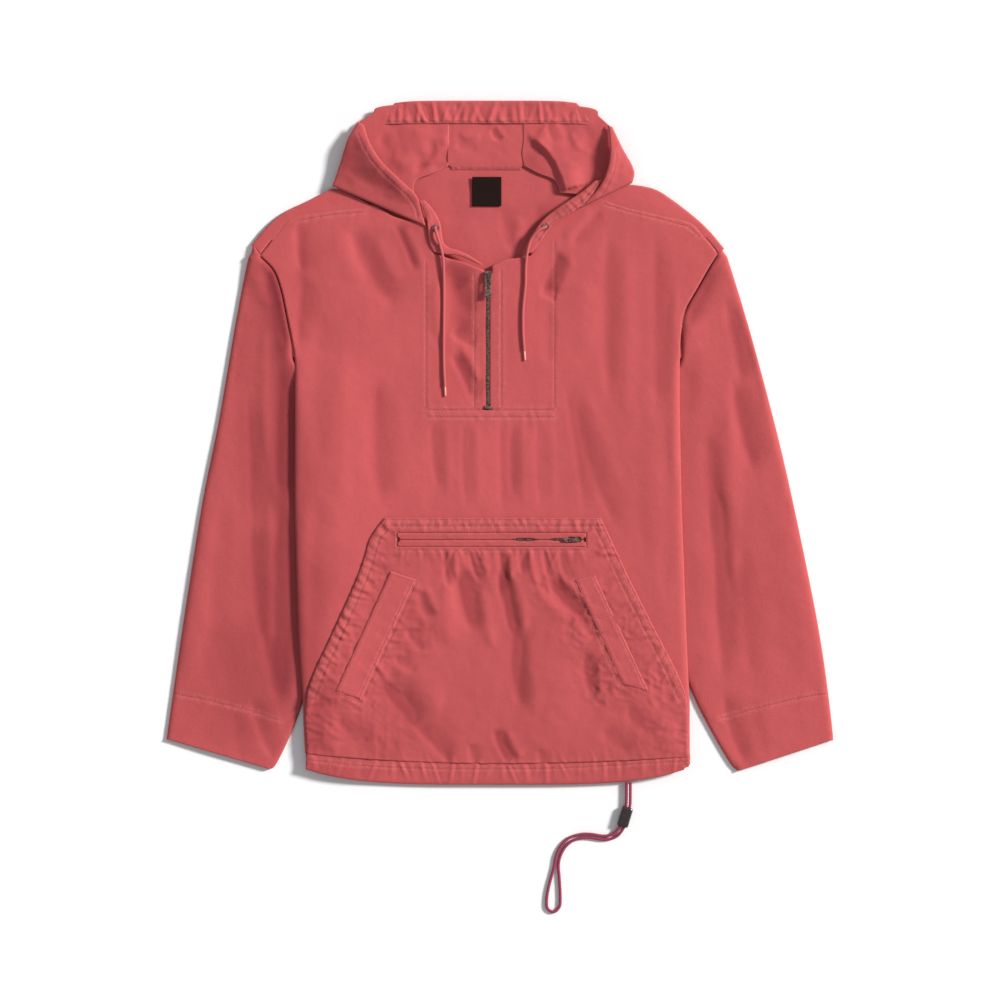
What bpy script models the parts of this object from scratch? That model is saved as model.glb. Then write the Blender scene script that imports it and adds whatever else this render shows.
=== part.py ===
"""An anorak pullover laid flat: hood, half zip, kangaroo pocket and drawcords.

The garment lies on its back on the plane z = 0, hood towards +Y, its front up.
Every table is in millimetres; x runs across the body, y from hem to hood, and the
origin is under the middle of the garment, on the surface it lies on.
"""
import math

import bmesh
import bpy
from mathutils import Vector
from mathutils.bvhtree import BVHTree

# ---------------------------------------------------------------- driving dimensions
MM = 0.001
CLOTH = 1.6                 # wall of one layer of cloth
GAP = 0.4                   # air between pieces that meet or lie on each other
SEAM = 0.5                  # air between two panels along a seam, in plan
FRONT_LIFT = 6.9            # underside of the front above the table, at its sides
BELLY_LIFT = 5.6            # and over the belly
NECK_LIFT = 7.6             # round the neck
ARM_LIFT = 5.6              # and along the armholes
POCKET_LIFT = 2.8           # slack of the pocket over the front
CORD = 3.6                  # drawcord diameter
ZIP_TAPE = 1.0              # zip tape thickness
CHAIN = 5.2                 # width of the closed chain
CHAIN_HEIGHT = 3.0
SLIDER_BODY = 2.6
BRIDGE_WIDTH = 1.8          # the part of a slider that its pull hangs on
PULL_THICK = 1.1
ZIP_X = -14.0               # centre line of the front zip
ZIP_FOOT = 40.0             # lower end of the front zip
ZIP_HEAD = 206.0            # upper end of the front zip

# Side edges of the body, with one row for each height: y, left x, right x.
BODY_EDGES = [
    (-392, -232.5, 228.5),
    (-309, -236.5, 228.0),
    (-237, -242.0, 224.7),
    (-69, -246.5, 218.5),
    (40, -246.0, 216.5),
]

# Armhole seams from the body edge up to the shoulder seam: left x, left y, right x, right y.
ARMHOLES = [
    (-246, 99, 216.5, 99),
    (-249, 121, 218, 141),
    (-255, 150, 224, 162),
    (-262, 183, 237, 185),
    (-271, 207, 250, 208),
    (-288, 225, 262, 227),
]

# Columns of the front, left to right: x at the foot of the zip, then x and y at the
# upper edge, which follows shoulder seam, hood seam, neckline, and the same back again.
FRONT_COLUMNS = [
    (-246.0, -288.0, 225.0),
    (-237.0, -268.0, 250.0),
    (-225.0, -249.0, 270.5),
    (-200.0, -205.0, 278.0),
    (-157.0, -157.0, 281.5),
    (-128.0, -128.0, 267.0),
    (-100.0, -92.0, 258.0),
    (-80.0, -82.0, 223.0),
    (-51.0, -51.0, 219.0),
    (-18.5, -18.5, 207.0),
    (-9.5, -9.5, 213.0),
    (10.0, 10.0, 220.5),
    (38.0, 38.0, 222.0),
    (58.0, 60.0, 255.0),
    (84.0, 84.0, 271.0),
    (116.0, 120.0, 294.0),
    (143.0, 150.0, 283.5),
    (172.0, 190.0, 274.0),
    (197.0, 228.0, 264.5),
    (208.0, 245.0, 248.0),
    (216.5, 262.0, 227.0),
]
ZIP_COLUMN = 9              # the zip opening lies between this column and the next

# Shoulder strips, from neck to armhole: seam x, seam y, shoulder edge x, shoulder edge y.
SHOULDER_LEFT = [
    (-157.0, 281.5, -201.0, 306.0),
    (-205.0, 278.0, -230.0, 291.0),
    (-249.0, 270.5, -259.0, 277.0),
    (-268.0, 250.0, -280.0, 259.5),
    (-287.4, 225.6, -298.0, 237.8),
]
SHOULDER_RIGHT = [
    (120.0, 294.0, 157.0, 310.0),
    (150.0, 283.5, 185.0, 305.0),
    (190.0, 274.0, 207.0, 292.0),
    (228.0, 264.5, 236.0, 269.5),
    (245.0, 248.0, 254.0, 252.0),
    (261.4, 227.8, 269.8, 233.0),
]

# Upper edge of the back, left to right: shoulder, neck seam and shoulder again.
BACK_TOP = [(-287, 226), (-264, 258), (-234, 281), (-203, 298), (-176, 305), (-150, 309), (-122, 318),
            (-96, 325.5), (-50, 326), (-5, 326), (40, 326), (62, 325), (88, 317), (112, 311), (136, 308),
            (160, 303), (198, 288), (234, 262), (261, 228)]

# Sleeves, from armhole to cuff: outer x, outer y, inner x, inner y, thickness laid flat.
SLEEVE_LEFT = [
    (-299, 237, -180, 9, 6.8),
    (-307, 200, -181, -30, 6.6),
    (-320, 130, -186, -80, 6.4),
    (-338, 25, -196, -140, 6.2),
    (-357, -69, -207, -195, 6.2),
    (-378, -200, -223, -262, 6.2),
    (-389, -275, -243, -330, 6.0),
    (-399, -345, -268, -385, 5.8),
    (-400.5, -356, -277, -392, 5.6),
]
SLEEVE_RIGHT = [
    (270.5, 232, 166, 9, 6.8),
    (284, 190, 168, -30, 6.6),
    (303, 126, 174, -80, 6.4),
    (331, 21, 183, -140, 6.2),
    (352, -69, 194, -195, 6.2),
    (379, -200, 214, -255, 6.2),
    (392, -280, 239, -318, 6.0),
    (400, -346, 276, -384, 5.8),
    (400.5, -357, 288, -394, 5.6),
]
TUCKED = 3.9                # thickness of the sleeve where the body lies on it
SLEEVE_LEAST = 4.4          # and in its deepest trough

# Folds, as troughs (rise < 0) and ridges: x0, y0, x1, y1, half width, rise.
FRONT_FOLDS = [
    (-238, 262, -240, 105, 15, -2.4),
    (-185, 268, -118, 150, 20, -3.0),
    (-128, 262, -100, 196, 13, -2.2),
    (-150, 110, -142, -95, 17, -2.6),
    (-42, 222, -46, 110, 21, -2.6),
    (-78, 34, -72, -88, 14, -2.2),
    (4, 34, 10, -88, 14, -2.6),
    (62, 50, 74, -92, 14, -2.4),
    (82, 72, 150, -110, 16, -2.4),
    (62, 250, 48, 150, 15, -2.8),
    (131, 262, 133, 20, 17, -2.2),
    (187, 250, 190, -60, 17, -2.2),
    (-195, 150, -205, -260, 22, 1.6),
    (160, 200, 165, -120, 20, 1.6),
    (205, 120, 208, -300, 14, 1.4),
]
POCKET_FOLDS = [
    (-38, -130, -26, -240, 15, -2.2),
    (4, -135, 18, -245, 13, -3.0),
    (52, -150, 112, -222, 14, -2.2),
    (24, -220, 26, -330, 16, -2.0),
    (100, -250, 116, -325, 13, -2.2),
    (-150, -285, -55, -392, 18, -2.4),
    (-8, -335, 16, -392, 12, -2.0),
    (-70, -170, -90, -300, 24, 1.8),
    (60, -250, 55, -340, 22, 1.8),
]
SLEEVE_LEFT_FOLDS = [
    (-277, 222, -257, 92, 15, -2.4),
    (-258, 100, -254, -320, 14, -2.6),
    (-304, 60, -268, -310, 14, -2.4),
    (-280, 120, -276, -200, 12, 0.8),
    (-345, 40, -372, -320, 22, 0.6),
    (-296, -300, -272, -392, 11, -1.8),
]
SLEEVE_RIGHT_FOLDS = [
    (260, 222, 228, 138, 13, -2.4),
    (272, 172, 290, 70, 14, -2.4),
    (284, 78, 308, -40, 13, -2.2),
    (258, -30, 270, -300, 15, -3.0),
    (330, -10, 362, -300, 24, 0.6),
    (268, -300, 296, -388, 12, -2.0),
]

# Hood, each side as sections from crown to neck seam.  Each section runs from the
# free rim out to the folded edge, and back under it to the seam with the centre
# panel: rim x, y, z, fold x, y, mid x, mid y, seam x, seam y.
HOOD_LEFT = [
    (-163.0, 381.0, 12.6, -169.5, 384.0, -140.0, 404.0, -61.0, 410.0),
    (-155.0, 358.0, 14.2, -181.5, 364.0, -130.0, 382.0, -61.0, 388.0),
    (-140.0, 335.0, 15.0, -190.0, 337.0, -135.0, 352.0, -61.0, 362.0),
    (-117.0, 313.0, 14.6, -195.5, 321.0, -140.0, 328.0, -62.0, 332.0),
    (-98.0, 293.0, 13.6, -198.5, 312.5, -150.0, 310.0, -99.0, 316.0),
    (-88.5, 259.5, 12.0, -200.5, 307.5, -155.0, 297.0, -103.0, 300.0),
]
HOOD_RIGHT = [
    (130.0, 381.0, 12.6, 134.5, 378.0, 108.0, 402.0, 28.0, 410.0),
    (132.0, 356.0, 14.2, 145.5, 354.0, 100.0, 378.0, 28.0, 388.0),
    (130.0, 332.0, 15.0, 156.0, 336.0, 105.0, 350.0, 28.0, 362.0),
    (121.0, 309.0, 14.6, 160.5, 325.0, 108.0, 326.0, 29.0, 332.0),
    (104.0, 290.0, 13.6, 160.0, 318.0, 112.0, 309.0, 64.0, 316.0),
    (80.0, 273.0, 12.0, 158.0, 311.5, 115.0, 297.0, 72.0, 300.0),
]
HOOD_FOLD_RADIUS = 2.6      # roll of the hood cloth at its folded edge
CROWN_Y = 410.5             # upper edge of the hood
NECK_SEAM_Y = 327.0         # seam between hood and back panel
HOOD_SEAMS_X = (-58.0, 25.0)
CASING_Y = 383.0            # lower edge of the crown casing
PAD_TOP = 6.8               # hidden layers folded under the hood
FLOOR_LIFT = 8.2            # middle of the hood cloth where it lies with its inside up

# Ends of the hood casing beside the neck opening: outer x, y, inner x, y.
CASING_LEFT = [
    (-97.0, 289.0, -90.5, 291.0),
    (-88.0, 270.0, -75.0, 268.0),
    (-85.5, 248.0, -58.0, 249.0),
    (-79.0, 228.5, -40.0, 232.0),
    (-50.0, 224.5, -27.0, 221.0),
    (-24.0, 213.5, -18.5, 214.0),
]
CASING_RIGHT = [
    (125.0, 316.5, 113.0, 313.0),
    (107.0, 291.0, 96.0, 299.0),
    (84.0, 274.5, 73.0, 284.0),
    (63.0, 260.5, 52.5, 268.0),
    (49.0, 240.0, 37.0, 247.0),
    (38.5, 227.5, 27.0, 226.5),
]
EYELET_LEFT = (-77.0, 257.5)
EYELET_RIGHT = (55.0, 259.0)
EYELET_RING = (4.2, 2.5)    # outer and inner radius

# Kangaroo pocket: left and right sides by height: y, left x, right x.
POCKET_TOP = -90.0
POCKET_SIDES = [
    (-90, -137.7, 121.5),
    (-110, -154.0, 131.0),
    (-158, -169.0, 153.0),
    (-214, -194.0, 181.0),
    (-272, -221.0, 211.0),
    (-309, -234.0, 226.0),
    (-392, -230.5, 226.5),
]
POCKET_ZIP = (-123.0, 103.0, -108.5, -124.5)    # left, right, top and bottom of its opening
POCKET_ZIP_GAP = 6.4
POCKET_SLIDER_X = 90.0
POCKET_ZIP_LIFT = 8.6       # underside of the pocket's zip chain
HAND_WELT_LEFT = [(-131, -154), (-101, -164), (-167, -308), (-197, -298)]
HAND_WELT_RIGHT = [(90, -165), (114, -159), (179, -299), (147, -290)]
HAND_SLIT = 5.0

LABEL = (-33.0, 284.0, 35.0)    # left, bottom and side of the neck label

# Drawcord routes in plan, from where each leaves the garment.
HOOD_CORD_LEFT = [(-77.0, 257.5), (-74.8, 247), (-71, 235), (-68, 220), (-67, 194), (-67, 160),
                  (-67.3, 120), (-67, 91), (-65.7, 67)]
HOOD_CORD_RIGHT = [(55.0, 259.0), (45.5, 253.5), (38, 244), (33.2, 229), (31.2, 210), (30.8, 190),
                   (28, 160), (28, 132), (29.6, 110)]
HEM_CORD = [(157.0, -408.0), (156.9, -424), (156.4, -436), (152.8, -450), (148.6, -463), (139.6, -473.6),
            (125.5, -477), (109, -474.6), (98, -475), (86.6, -479), (78, -487), (72.6, -497.5),
            (70.6, -508), (71.4, -520), (72.4, -535), (72.8, -549), (71.6, -558), (65, -564),
            (57.6, -560), (56.4, -550), (58.6, -535), (62.6, -520), (65.6, -508.6), (67.8, -496.6),
            (73.6, -484.6), (83.6, -475), (97, -470.6), (109.4, -470.4), (125, -472.6), (136, -470.2),
            (144.2, -461.2), (148.4, -449), (151.8, -436), (152.4, -424), (152.6, -408.0)]
CORD_STOP_AT = (150.5, -449.5)
CORD_STOP_TURN = 16.5       # degrees from the y axis
TIP_LENGTH = 12.0
TIP = 2.6
CORD_STOP = (13.6, 25.0, 9.0)     # width, length and height
STOP_BORE_HEIGHT = 4.7

parts = bpy.data.collections.new("anorak_pullover")
cutters = bpy.data.collections.new("cutters")


# ---------------------------------------------------------------- helpers
def clear_scene():
    for old in list(bpy.data.objects):
        bpy.data.objects.remove(old, do_unlink=True)
    bpy.context.scene.collection.children.link(parts)
    bpy.context.scene.collection.children.link(cutters)


def material(name, colour, roughness, metallic=0.0):
    made = bpy.data.materials.get(name) or bpy.data.materials.new(name)
    made.use_nodes = True
    shader = made.node_tree.nodes["Principled BSDF"]
    shader.inputs["Base Color"].default_value = (*colour, 1.0)
    shader.inputs["Roughness"].default_value = roughness
    shader.inputs["Metallic"].default_value = metallic
    return made


def cloth():
    return material("dyed_cotton", (0.60, 0.115, 0.12), 0.85)


def brass():
    return material("aged_brass", (0.16, 0.11, 0.07), 0.4, 1.0)


def smooth(t):
    t = min(max(t, 0.0), 1.0)
    return t * t * (3 - 2 * t)


def blend(a, b, t):
    return a + (b - a) * t


def column_at(table, column, y):
    """The value of one column of a table at height y, its first column being y."""
    rows = sorted(table)
    if y <= rows[0][0]:
        return rows[0][column]
    for low, high in zip(rows, rows[1:]):
        if y <= high[0]:
            return blend(low[column], high[column], (y - low[0]) / (high[0] - low[0]))
    return rows[-1][column]


def curve_through(points, steps):
    """Points of a smooth curve through the given ones, `steps` to each span."""
    points = [Vector(p) for p in points]
    ends = [2 * points[0] - points[1]] + points + [2 * points[-1] - points[-2]]
    curve = []
    for a, b, c, d in zip(ends, ends[1:], ends[2:], ends[3:]):
        for i in range(steps):
            t = i / steps
            curve.append(0.5 * (2 * b + (c - a) * t + (2 * a - 5 * b + 4 * c - d) * t * t
                                + (3 * b - a - 3 * c + d) * t ** 3))
    return curve + [points[-1]]


def evenly(curve, count):
    """`count` points at equal distances along a curve."""
    walked = [0.0]
    for a, b in zip(curve, curve[1:]):
        walked.append(walked[-1] + (b - a).length)
    spaced = []
    for i in range(count):
        goal = walked[-1] * i / (count - 1)
        k = next((j for j in range(1, len(walked)) if walked[j] >= goal - 1e-9), len(walked) - 1)
        spaced.append(curve[k - 1].lerp(curve[k], (goal - walked[k - 1]) / (walked[k] - walked[k - 1])))
    return spaced


def fold_height(folds, x, y):
    """Height that soft troughs and ridges add at a point."""
    height = 0.0
    for x0, y0, x1, y1, width, rise in folds:
        dx, dy = x1 - x0, y1 - y0
        length = math.hypot(dx, dy)
        along = ((x - x0) * dx + (y - y0) * dy) / length ** 2
        across = ((x - x0) * dy - (y - y0) * dx) / length
        height += rise * smooth(along / 0.3) * smooth((1 - along) / 0.3) * math.exp(-(across / width) ** 2)
    return height


def finish(obj, surface, smooth_shading=True):
    obj.data.materials.clear()
    obj.data.materials.append(surface)
    if smooth_shading:
        obj.data.shade_smooth()
        obj.data.set_sharp_from_angle(angle=math.radians(50))
    return obj


def mesh_object(name, bm, surface, where=parts):
    mesh = bpy.data.meshes.new(name)
    bm.to_mesh(mesh)
    bm.free()
    obj = bpy.data.objects.new(name, mesh)
    where.objects.link(obj)
    return finish(obj, surface)


def lattice_faces(bm, rows, closed=False, skip=lambda i, j: False):
    """Faces between rows of points given in millimetres."""
    verts = [[bm.verts.new(Vector(p) * MM) for p in row] for row in rows]
    for i in range(len(rows) - 1):
        width = len(rows[i])
        for j in range(width if closed else width - 1):
            if not skip(i, j):
                k = (j + 1) % width
                bm.faces.new((verts[i][j], verts[i][k], verts[i + 1][k], verts[i + 1][j]))
    loose = [v for v in bm.verts if not v.link_faces]
    bmesh.ops.delete(bm, geom=loose, context="VERTS")


def laid_panel(name, rows, thickness=CLOTH, surface=None, skip=lambda i, j: False):
    """A panel from rows of points on its underside, which run left to right and then
    upwards; its wall rises straight from them."""
    bm = bmesh.new()
    lattice_faces(bm, rows, skip=skip)
    under = bm.faces[:]
    grown = bmesh.ops.extrude_face_region(bm, geom=under, use_keep_orig=True)
    risen = [v for v in grown["geom"] if isinstance(v, bmesh.types.BMVert)]
    bmesh.ops.translate(bm, verts=risen, vec=(0, 0, thickness * MM))
    bmesh.ops.recalc_face_normals(bm, faces=bm.faces[:])
    return mesh_object(name, bm, surface or cloth())


def rolled_panel(name, rows, thickness=CLOTH, closed=False):
    """A panel that turns over an edge or round a tube, with its wall on one side."""
    bm = bmesh.new()
    lattice_faces(bm, rows, closed=closed)
    obj = mesh_object(name, bm, cloth())
    wall = obj.modifiers.new("wall", "SOLIDIFY")
    wall.thickness = thickness * MM
    wall.offset = -1.0 if closed else 0.0
    return obj


class Pile:
    """The pieces laid down so far, so that the next one can be laid on them."""

    def __init__(self):
        self.trees = []

    def add(self, obj):
        bpy.context.view_layer.update()
        seen = obj.evaluated_get(bpy.context.evaluated_depsgraph_get())
        self.trees.append(BVHTree.FromObject(seen, bpy.context.evaluated_depsgraph_get()))
        return obj

    def top(self, x, y, reach, inside=lambda x, y: x):
        """Height of the highest thing within `reach` of a point; `inside` keeps the
        search on the piece that is being laid."""
        highest = 0.0
        for i in range(-3, 4):
            for j in range(-3, 4):
                near = Vector((x + reach * i / 3, y + reach * j / 3, 200.0))
                near.x = inside(near.x, near.y)
                above = near * MM
                for tree in self.trees:
                    hit = tree.ray_cast(above, Vector((0, 0, -1)))[0]
                    if hit is not None:
                        highest = max(highest, hit.z / MM)
        return highest


pile = Pile()


def add_cutter(obj):
    obj.hide_render = True
    obj.display_type = "WIRE"
    return obj


def cut(obj, cutter):
    opening = obj.modifiers.new("opening", "BOOLEAN")
    opening.operation = "DIFFERENCE"
    opening.object = cutter
    return obj


def box(name, low, high, surface, bevel=0.0, where=parts):
    """A block between two corners in millimetres."""
    low, high = Vector(low), Vector(high)
    bm = bmesh.new()
    bmesh.ops.create_cube(bm, size=1.0)
    bmesh.ops.scale(bm, verts=bm.verts, vec=(high - low) * MM)
    obj = mesh_object(name, bm, surface, where)
    obj.location = (low + high) / 2 * MM
    if bevel:
        edge = obj.modifiers.new("edge", "BEVEL")
        edge.width = bevel * MM
        edge.segments = 2
    return obj


def ring(name, centre, outer, inner, height, surface):
    """A flat metal ring lying on its face, as a turned profile."""
    x, y, z = centre
    profile = [(inner, 0), (inner, height), (outer, height), (outer, 0)]
    bm = bmesh.new()
    points = [bm.verts.new((r * MM, 0, h * MM)) for r, h in profile]
    for a, b in zip(points, points[1:] + points[:1]):
        bm.edges.new((a, b))
    obj = mesh_object(name, bm, surface)
    obj.location = Vector((x, y, z)) * MM
    turn = obj.modifiers.new("turn", "SCREW")
    turn.steps = turn.render_steps = 20
    turn.use_merge_vertices = True
    turn.merge_threshold = 0.00001
    return obj


def cord(name, route, surface, diameter=CORD, spacing=2.6):
    """A tube along a smooth route."""
    curve_points = curve_through(route, 12)
    length = sum((b - a).length for a, b in zip(curve_points, curve_points[1:]))
    spaced = evenly(curve_points, max(4, round(length / (spacing * diameter)) + 1))
    data = bpy.data.curves.new(name, "CURVE")
    data.dimensions = "3D"
    data.bevel_depth = diameter / 2 * MM
    data.bevel_resolution = 2
    data.use_fill_caps = True
    line = data.splines.new("POLY")
    line.points.add(len(spaced) - 1)
    for point, place in zip(line.points, spaced):
        point.co = (*(place * MM), 1.0)
    obj = bpy.data.objects.new(name, data)
    parts.objects.link(obj)
    obj.data.materials.append(surface)
    return obj


# ---------------------------------------------------------------- body outline
def left_edge(y):
    if y <= ARMHOLES[0][1]:
        return column_at(BODY_EDGES, 1, y)
    return column_at([(row[1], row[0]) for row in ARMHOLES], 1, y)


def right_edge(y):
    if y <= ARMHOLES[0][3]:
        return column_at(BODY_EDGES, 2, y)
    return column_at([(row[3], row[2]) for row in ARMHOLES], 1, y)


def on_body(x, y):
    """x moved onto the body, where a place beside it is asked for."""
    return min(max(x, left_edge(y) + 0.8), right_edge(y) - 0.8)


def front_level(x, y):
    """Underside of the front without its folds: lowest over the belly."""
    beside = smooth((abs(x + 10) - 120) / 80)
    side_level = blend(FRONT_LIFT, ARM_LIFT, smooth((y - 95) / 50))
    near_neck = smooth((y - 130) / 80) * (1 - smooth((abs(x + 10) - 170) / 80))
    return blend(blend(BELLY_LIFT, side_level, beside), NECK_LIFT, near_neck)


def hem_line(u, y_mid, y_left, y_right, power):
    """Height of a level that sags from the sides to the middle, u from -1 to 1."""
    return y_mid + (y_left if u < 0 else y_right) * abs(u) ** power


def hem_seam(u):
    return hem_line(u, -386.5, 12.0, 8.5, 2)


def hem_foot(u):
    return hem_line(u, -410.8, 18.5, 20.5, 4)


# ---------------------------------------------------------------- cloth pieces
def sleeve(name, table, armhole, folds, side):
    """A flattened tube, open at the cuff and along the armhole seam."""
    outer = curve_through([(r[0], r[1], 0) for r in table], 2)
    inner = curve_through([(r[2], r[3], 0) for r in table], 2)
    thick = curve_through([(r[4], 0, 0) for r in table], 2)
    seam = [Vector((x + side * SEAM, y, 0)) for x, y in reversed(armhole)]
    start, under = outer[0], inner[0]
    hidden = curve_through([seam[-1], seam[-1].lerp(under, 0.5) + Vector((-side * 6, -8, 0)), under], 2)
    seam_path = [start] + seam[:-1] + hidden
    last = len(seam_path) - 1
    rings = []
    for k, (o, i, t) in enumerate(zip(outer, inner, thick)):
        bend = smooth(1 - k / 5)
        path = []
        for j, on_seam in enumerate(seam_path):
            from_seam = on_seam + (o - start).lerp(i - under, j / last)
            path.append(o.lerp(i, j / last).lerp(from_seam, bend))
        top, bottom = [], []
        for j, at in enumerate(path):
            body_side = left_edge(at.y) if side < 0 else right_edge(at.y)
            tucked = smooth((side * (body_side - at.x) + 16) / 16)
            full = blend(t.x, TUCKED, tucked)
            if j in (0, last):
                neighbour = path[1] if j == 0 else path[last - 1]
                shoulder_in = at + (neighbour - at).normalized() * full / 2
                lower = Vector((shoulder_in.x, shoulder_in.y, 0))
                upper = Vector((shoulder_in.x, shoulder_in.y, full))
                edge = Vector((at.x, at.y, full / 2))
                top += [edge, upper] if j == 0 else [upper, edge]
                bottom += [lower]
                continue
            lift = fold_height(folds, at.x, at.y) * (1 - tucked) * smooth(k / 2)
            top.append(Vector((at.x, at.y, full + max(lift, SLEEVE_LEAST - full))))
            bottom.append(Vector((at.x, at.y, 0.0)))
        loop = top + bottom[::-1]
        rings.append(loop[::-1] if side < 0 else loop)
    return pile.add(rolled_panel(name, rings, closed=True))


def rise_to_neck(x, y):
    """How far the back rises to meet the hood inside the neck opening."""
    beside = smooth((125 - abs(x + 18)) / 40)
    return 5.0 * smooth((y - 235) / 85) * beside


def back_height(x, y):
    """Underside of the back: on the table, over the tucked sleeves, up to the hood."""
    beneath = pile.top(x, y, 30, on_body)
    return max(beneath + GAP if beneath > 0 else 0.0, rise_to_neck(x, y))


def back_panel():
    """The back, seen from inside through the neck opening."""
    top_edge = [Vector((*p, 0)) for p in BACK_TOP]
    across = len(top_edge) - 1
    rows = []
    levels = [-386, -330, -270, -200, -130, -60, 10, 60, 99]
    for y in levels:
        left, right = left_edge(y) + 2, right_edge(y) - 2
        row = []
        for j in range(across + 1):
            u = 2 * j / across - 1
            height = hem_seam(u) + SEAM if y == levels[0] else y
            row.append((blend(left, right, j / across), height))
        rows.append(row)
    for k in range(1, len(ARMHOLES)):
        part = k / (len(ARMHOLES) - 1)
        left, right = ARMHOLES[k][0] + 1, ARMHOLES[k][2] - 1
        row = []
        for j in range(across + 1):
            s = j / across
            base = blend(rows[8][j][0], top_edge[j].x, part)
            edge_fit = blend(left - blend(rows[8][0][0], top_edge[0].x, part),
                             right - blend(rows[8][-1][0], top_edge[-1].x, part), s)
            side_y = blend(ARMHOLES[k][1], ARMHOLES[k][3], s)
            row.append((base + edge_fit * abs(2 * s - 1) ** 3, blend(side_y, top_edge[j].y, part ** 1.5)
                        if 0 < j < across else side_y))
        rows.append(row)
    points = []
    for row in rows:
        points.append([(x, y, back_height(x, y)) for x, y in row])
    return pile.add(laid_panel("back_panel", points))


def front_height(x, y, reach):
    """Underside of the front with its folds, which are slight under the pocket."""
    from_edge = min(x - left_edge(y), right_edge(y) - x)
    edge = smooth(from_edge / 22)
    covered = smooth((y - POCKET_TOP + 25) / 50)
    lift = front_level(x, y) + 0.6 * edge + fold_height(FRONT_FOLDS, x, y) * blend(0.3, 1.0, covered) * edge
    return max(lift, pile.top(x, y, reach, on_body) + GAP)


def front_points():
    rows = []
    left0, right0 = left_edge(ZIP_FOOT), right_edge(ZIP_FOOT)
    lower = [-386, -365, -337, -309, -280, -250, -220, -190, -160, -130, -105, -80, -55, -30, -5, 20,
             ZIP_FOOT]
    for y in lower:
        row = []
        for chest_x, _, _ in FRONT_COLUMNS:
            s = (chest_x - left0) / (right0 - left0)
            sag = hem_seam(2 * s - 1) + SEAM
            height = blend(sag, y, smooth((y + 386) / 80)) if y > -386 else sag
            row.append((blend(left_edge(y), right_edge(y), s), height))
        rows.append(row)
    shares = [(row[1] - ZIP_FOOT) / (ARMHOLES[-1][1] - ZIP_FOOT) for row in ARMHOLES]
    for k, share in enumerate(shares):
        row = []
        last = len(FRONT_COLUMNS) - 1
        for j, (chest_x, top_x, top_y) in enumerate(FRONT_COLUMNS):
            if j == 0:
                row.append((ARMHOLES[k][0], ARMHOLES[k][1]))
            elif j == last:
                row.append((ARMHOLES[k][2], ARMHOLES[k][3]))
            else:
                row.append((blend(chest_x, top_x, share ** 1.6), blend(ZIP_FOOT, top_y, share)))
        rows.append(row)
    return rows, len(lower)


def front_panel():
    rows, lower_rows = front_points()
    points = [[(x, y, front_height(x, y, 26)) for x, y in row] for row in rows]
    return pile.add(laid_panel("front_panel", points,
                               skip=lambda i, j: i >= lower_rows - 1 and j == ZIP_COLUMN))


def shoulder(name, table):
    """The part of the back that comes forward over the shoulder to the front seam."""
    rows = []
    for seam_x, seam_y, edge_x, edge_y in table:
        seam, edge = Vector((seam_x, seam_y, 0)), Vector((edge_x, edge_y, 0))
        seam = seam + (edge - seam).normalized() * 1.2 * SEAM
        row = []
        for share, fall in ((0, 0.0), (0.5, 0.5), (0.85, 1.8), (1, 4.0)):
            at = seam.lerp(edge, share)
            row.append((at.x, at.y, front_level(at.x, at.y) - fall))
        rows.append(row)
    return pile.add(laid_panel(name, rows))


def hem_casing(name, thickness, inset, height):
    """One half of the folded band round the hem that holds the drawcord."""
    rows = []
    count = 18
    for seam_side in (False, True):
        row = []
        for j in range(count + 1):
            u = 2 * j / count - 1
            x = blend(left_edge(-390) + inset, right_edge(-390) - inset, j / count)
            y = hem_seam(u) - SEAM if seam_side else hem_foot(u) + inset
            row.append((x, y, height(x, y)))
        rows.append(row)
    middle = [tuple((a + b) / 2 for a, b in zip(p, q)) for p, q in zip(*rows)]
    return pile.add(laid_panel(name, [rows[0], middle, rows[1]], thickness))


def hood_side(name, table, side):
    """One side of the hood: from its free rim out to the folded edge and back under."""
    columns = []
    for rim_x, rim_y, rim_z, fold_x, fold_y, mid_x, mid_y, seam_x, seam_y in table:
        rim, fold = Vector((rim_x, rim_y, rim_z)), Vector((fold_x, fold_y, 0))
        mid, seam = Vector((mid_x, mid_y, 0)), Vector((seam_x, seam_y, 0))
        inwards = (mid - fold).normalized() * HOOD_FOLD_RADIUS
        low = FLOOR_LIFT
        section = [rim]
        crest = fold + Vector((0, 0, low + 2 * HOOD_FOLD_RADIUS))
        for share in (0.33, 0.66):
            swell = Vector((0, 0, 0.8 + 1.6 * share))
            section.append(rim.lerp(crest, share) + swell * (1 - share))
        section.append(fold + inwards * 0.6 + Vector((0, 0, low + 1.8 * HOOD_FOLD_RADIUS)))
        section.append(fold + Vector((0, 0, low + HOOD_FOLD_RADIUS)))
        section.append(fold + inwards * 0.6 + Vector((0, 0, low + 0.2 * HOOD_FOLD_RADIUS)))
        section.append(fold + inwards * 2 + Vector((0, 0, low)))
        section.append((fold + inwards * 2).lerp(mid, 0.5) + Vector((0, 0, low)))
        section.append(mid + Vector((0, 0, low)))
        section.append(mid.lerp(seam, 0.5) + Vector((0, 0, low)))
        section.append(seam + Vector((0, 0, low)))
        columns.append(section)
    rows = [curve_through(line, 2) for line in zip(*columns)]
    if side > 0:
        rows = [row[::-1] for row in rows]
    return pile.add(rolled_panel(name, rows))


def hood_centre():
    """The centre panel of the hood, lying with its inside up."""
    left, right = HOOD_SEAMS_X
    rows = []
    for y in (NECK_SEAM_Y + 1.5, 345, 365, 385, CROWN_Y):
        row = [(blend(left, right, j / 5), y, FLOOR_LIFT - CLOTH / 2) for j in range(6)]
        rows.append(row)
    return pile.add(laid_panel("hood_centre", rows))


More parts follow.
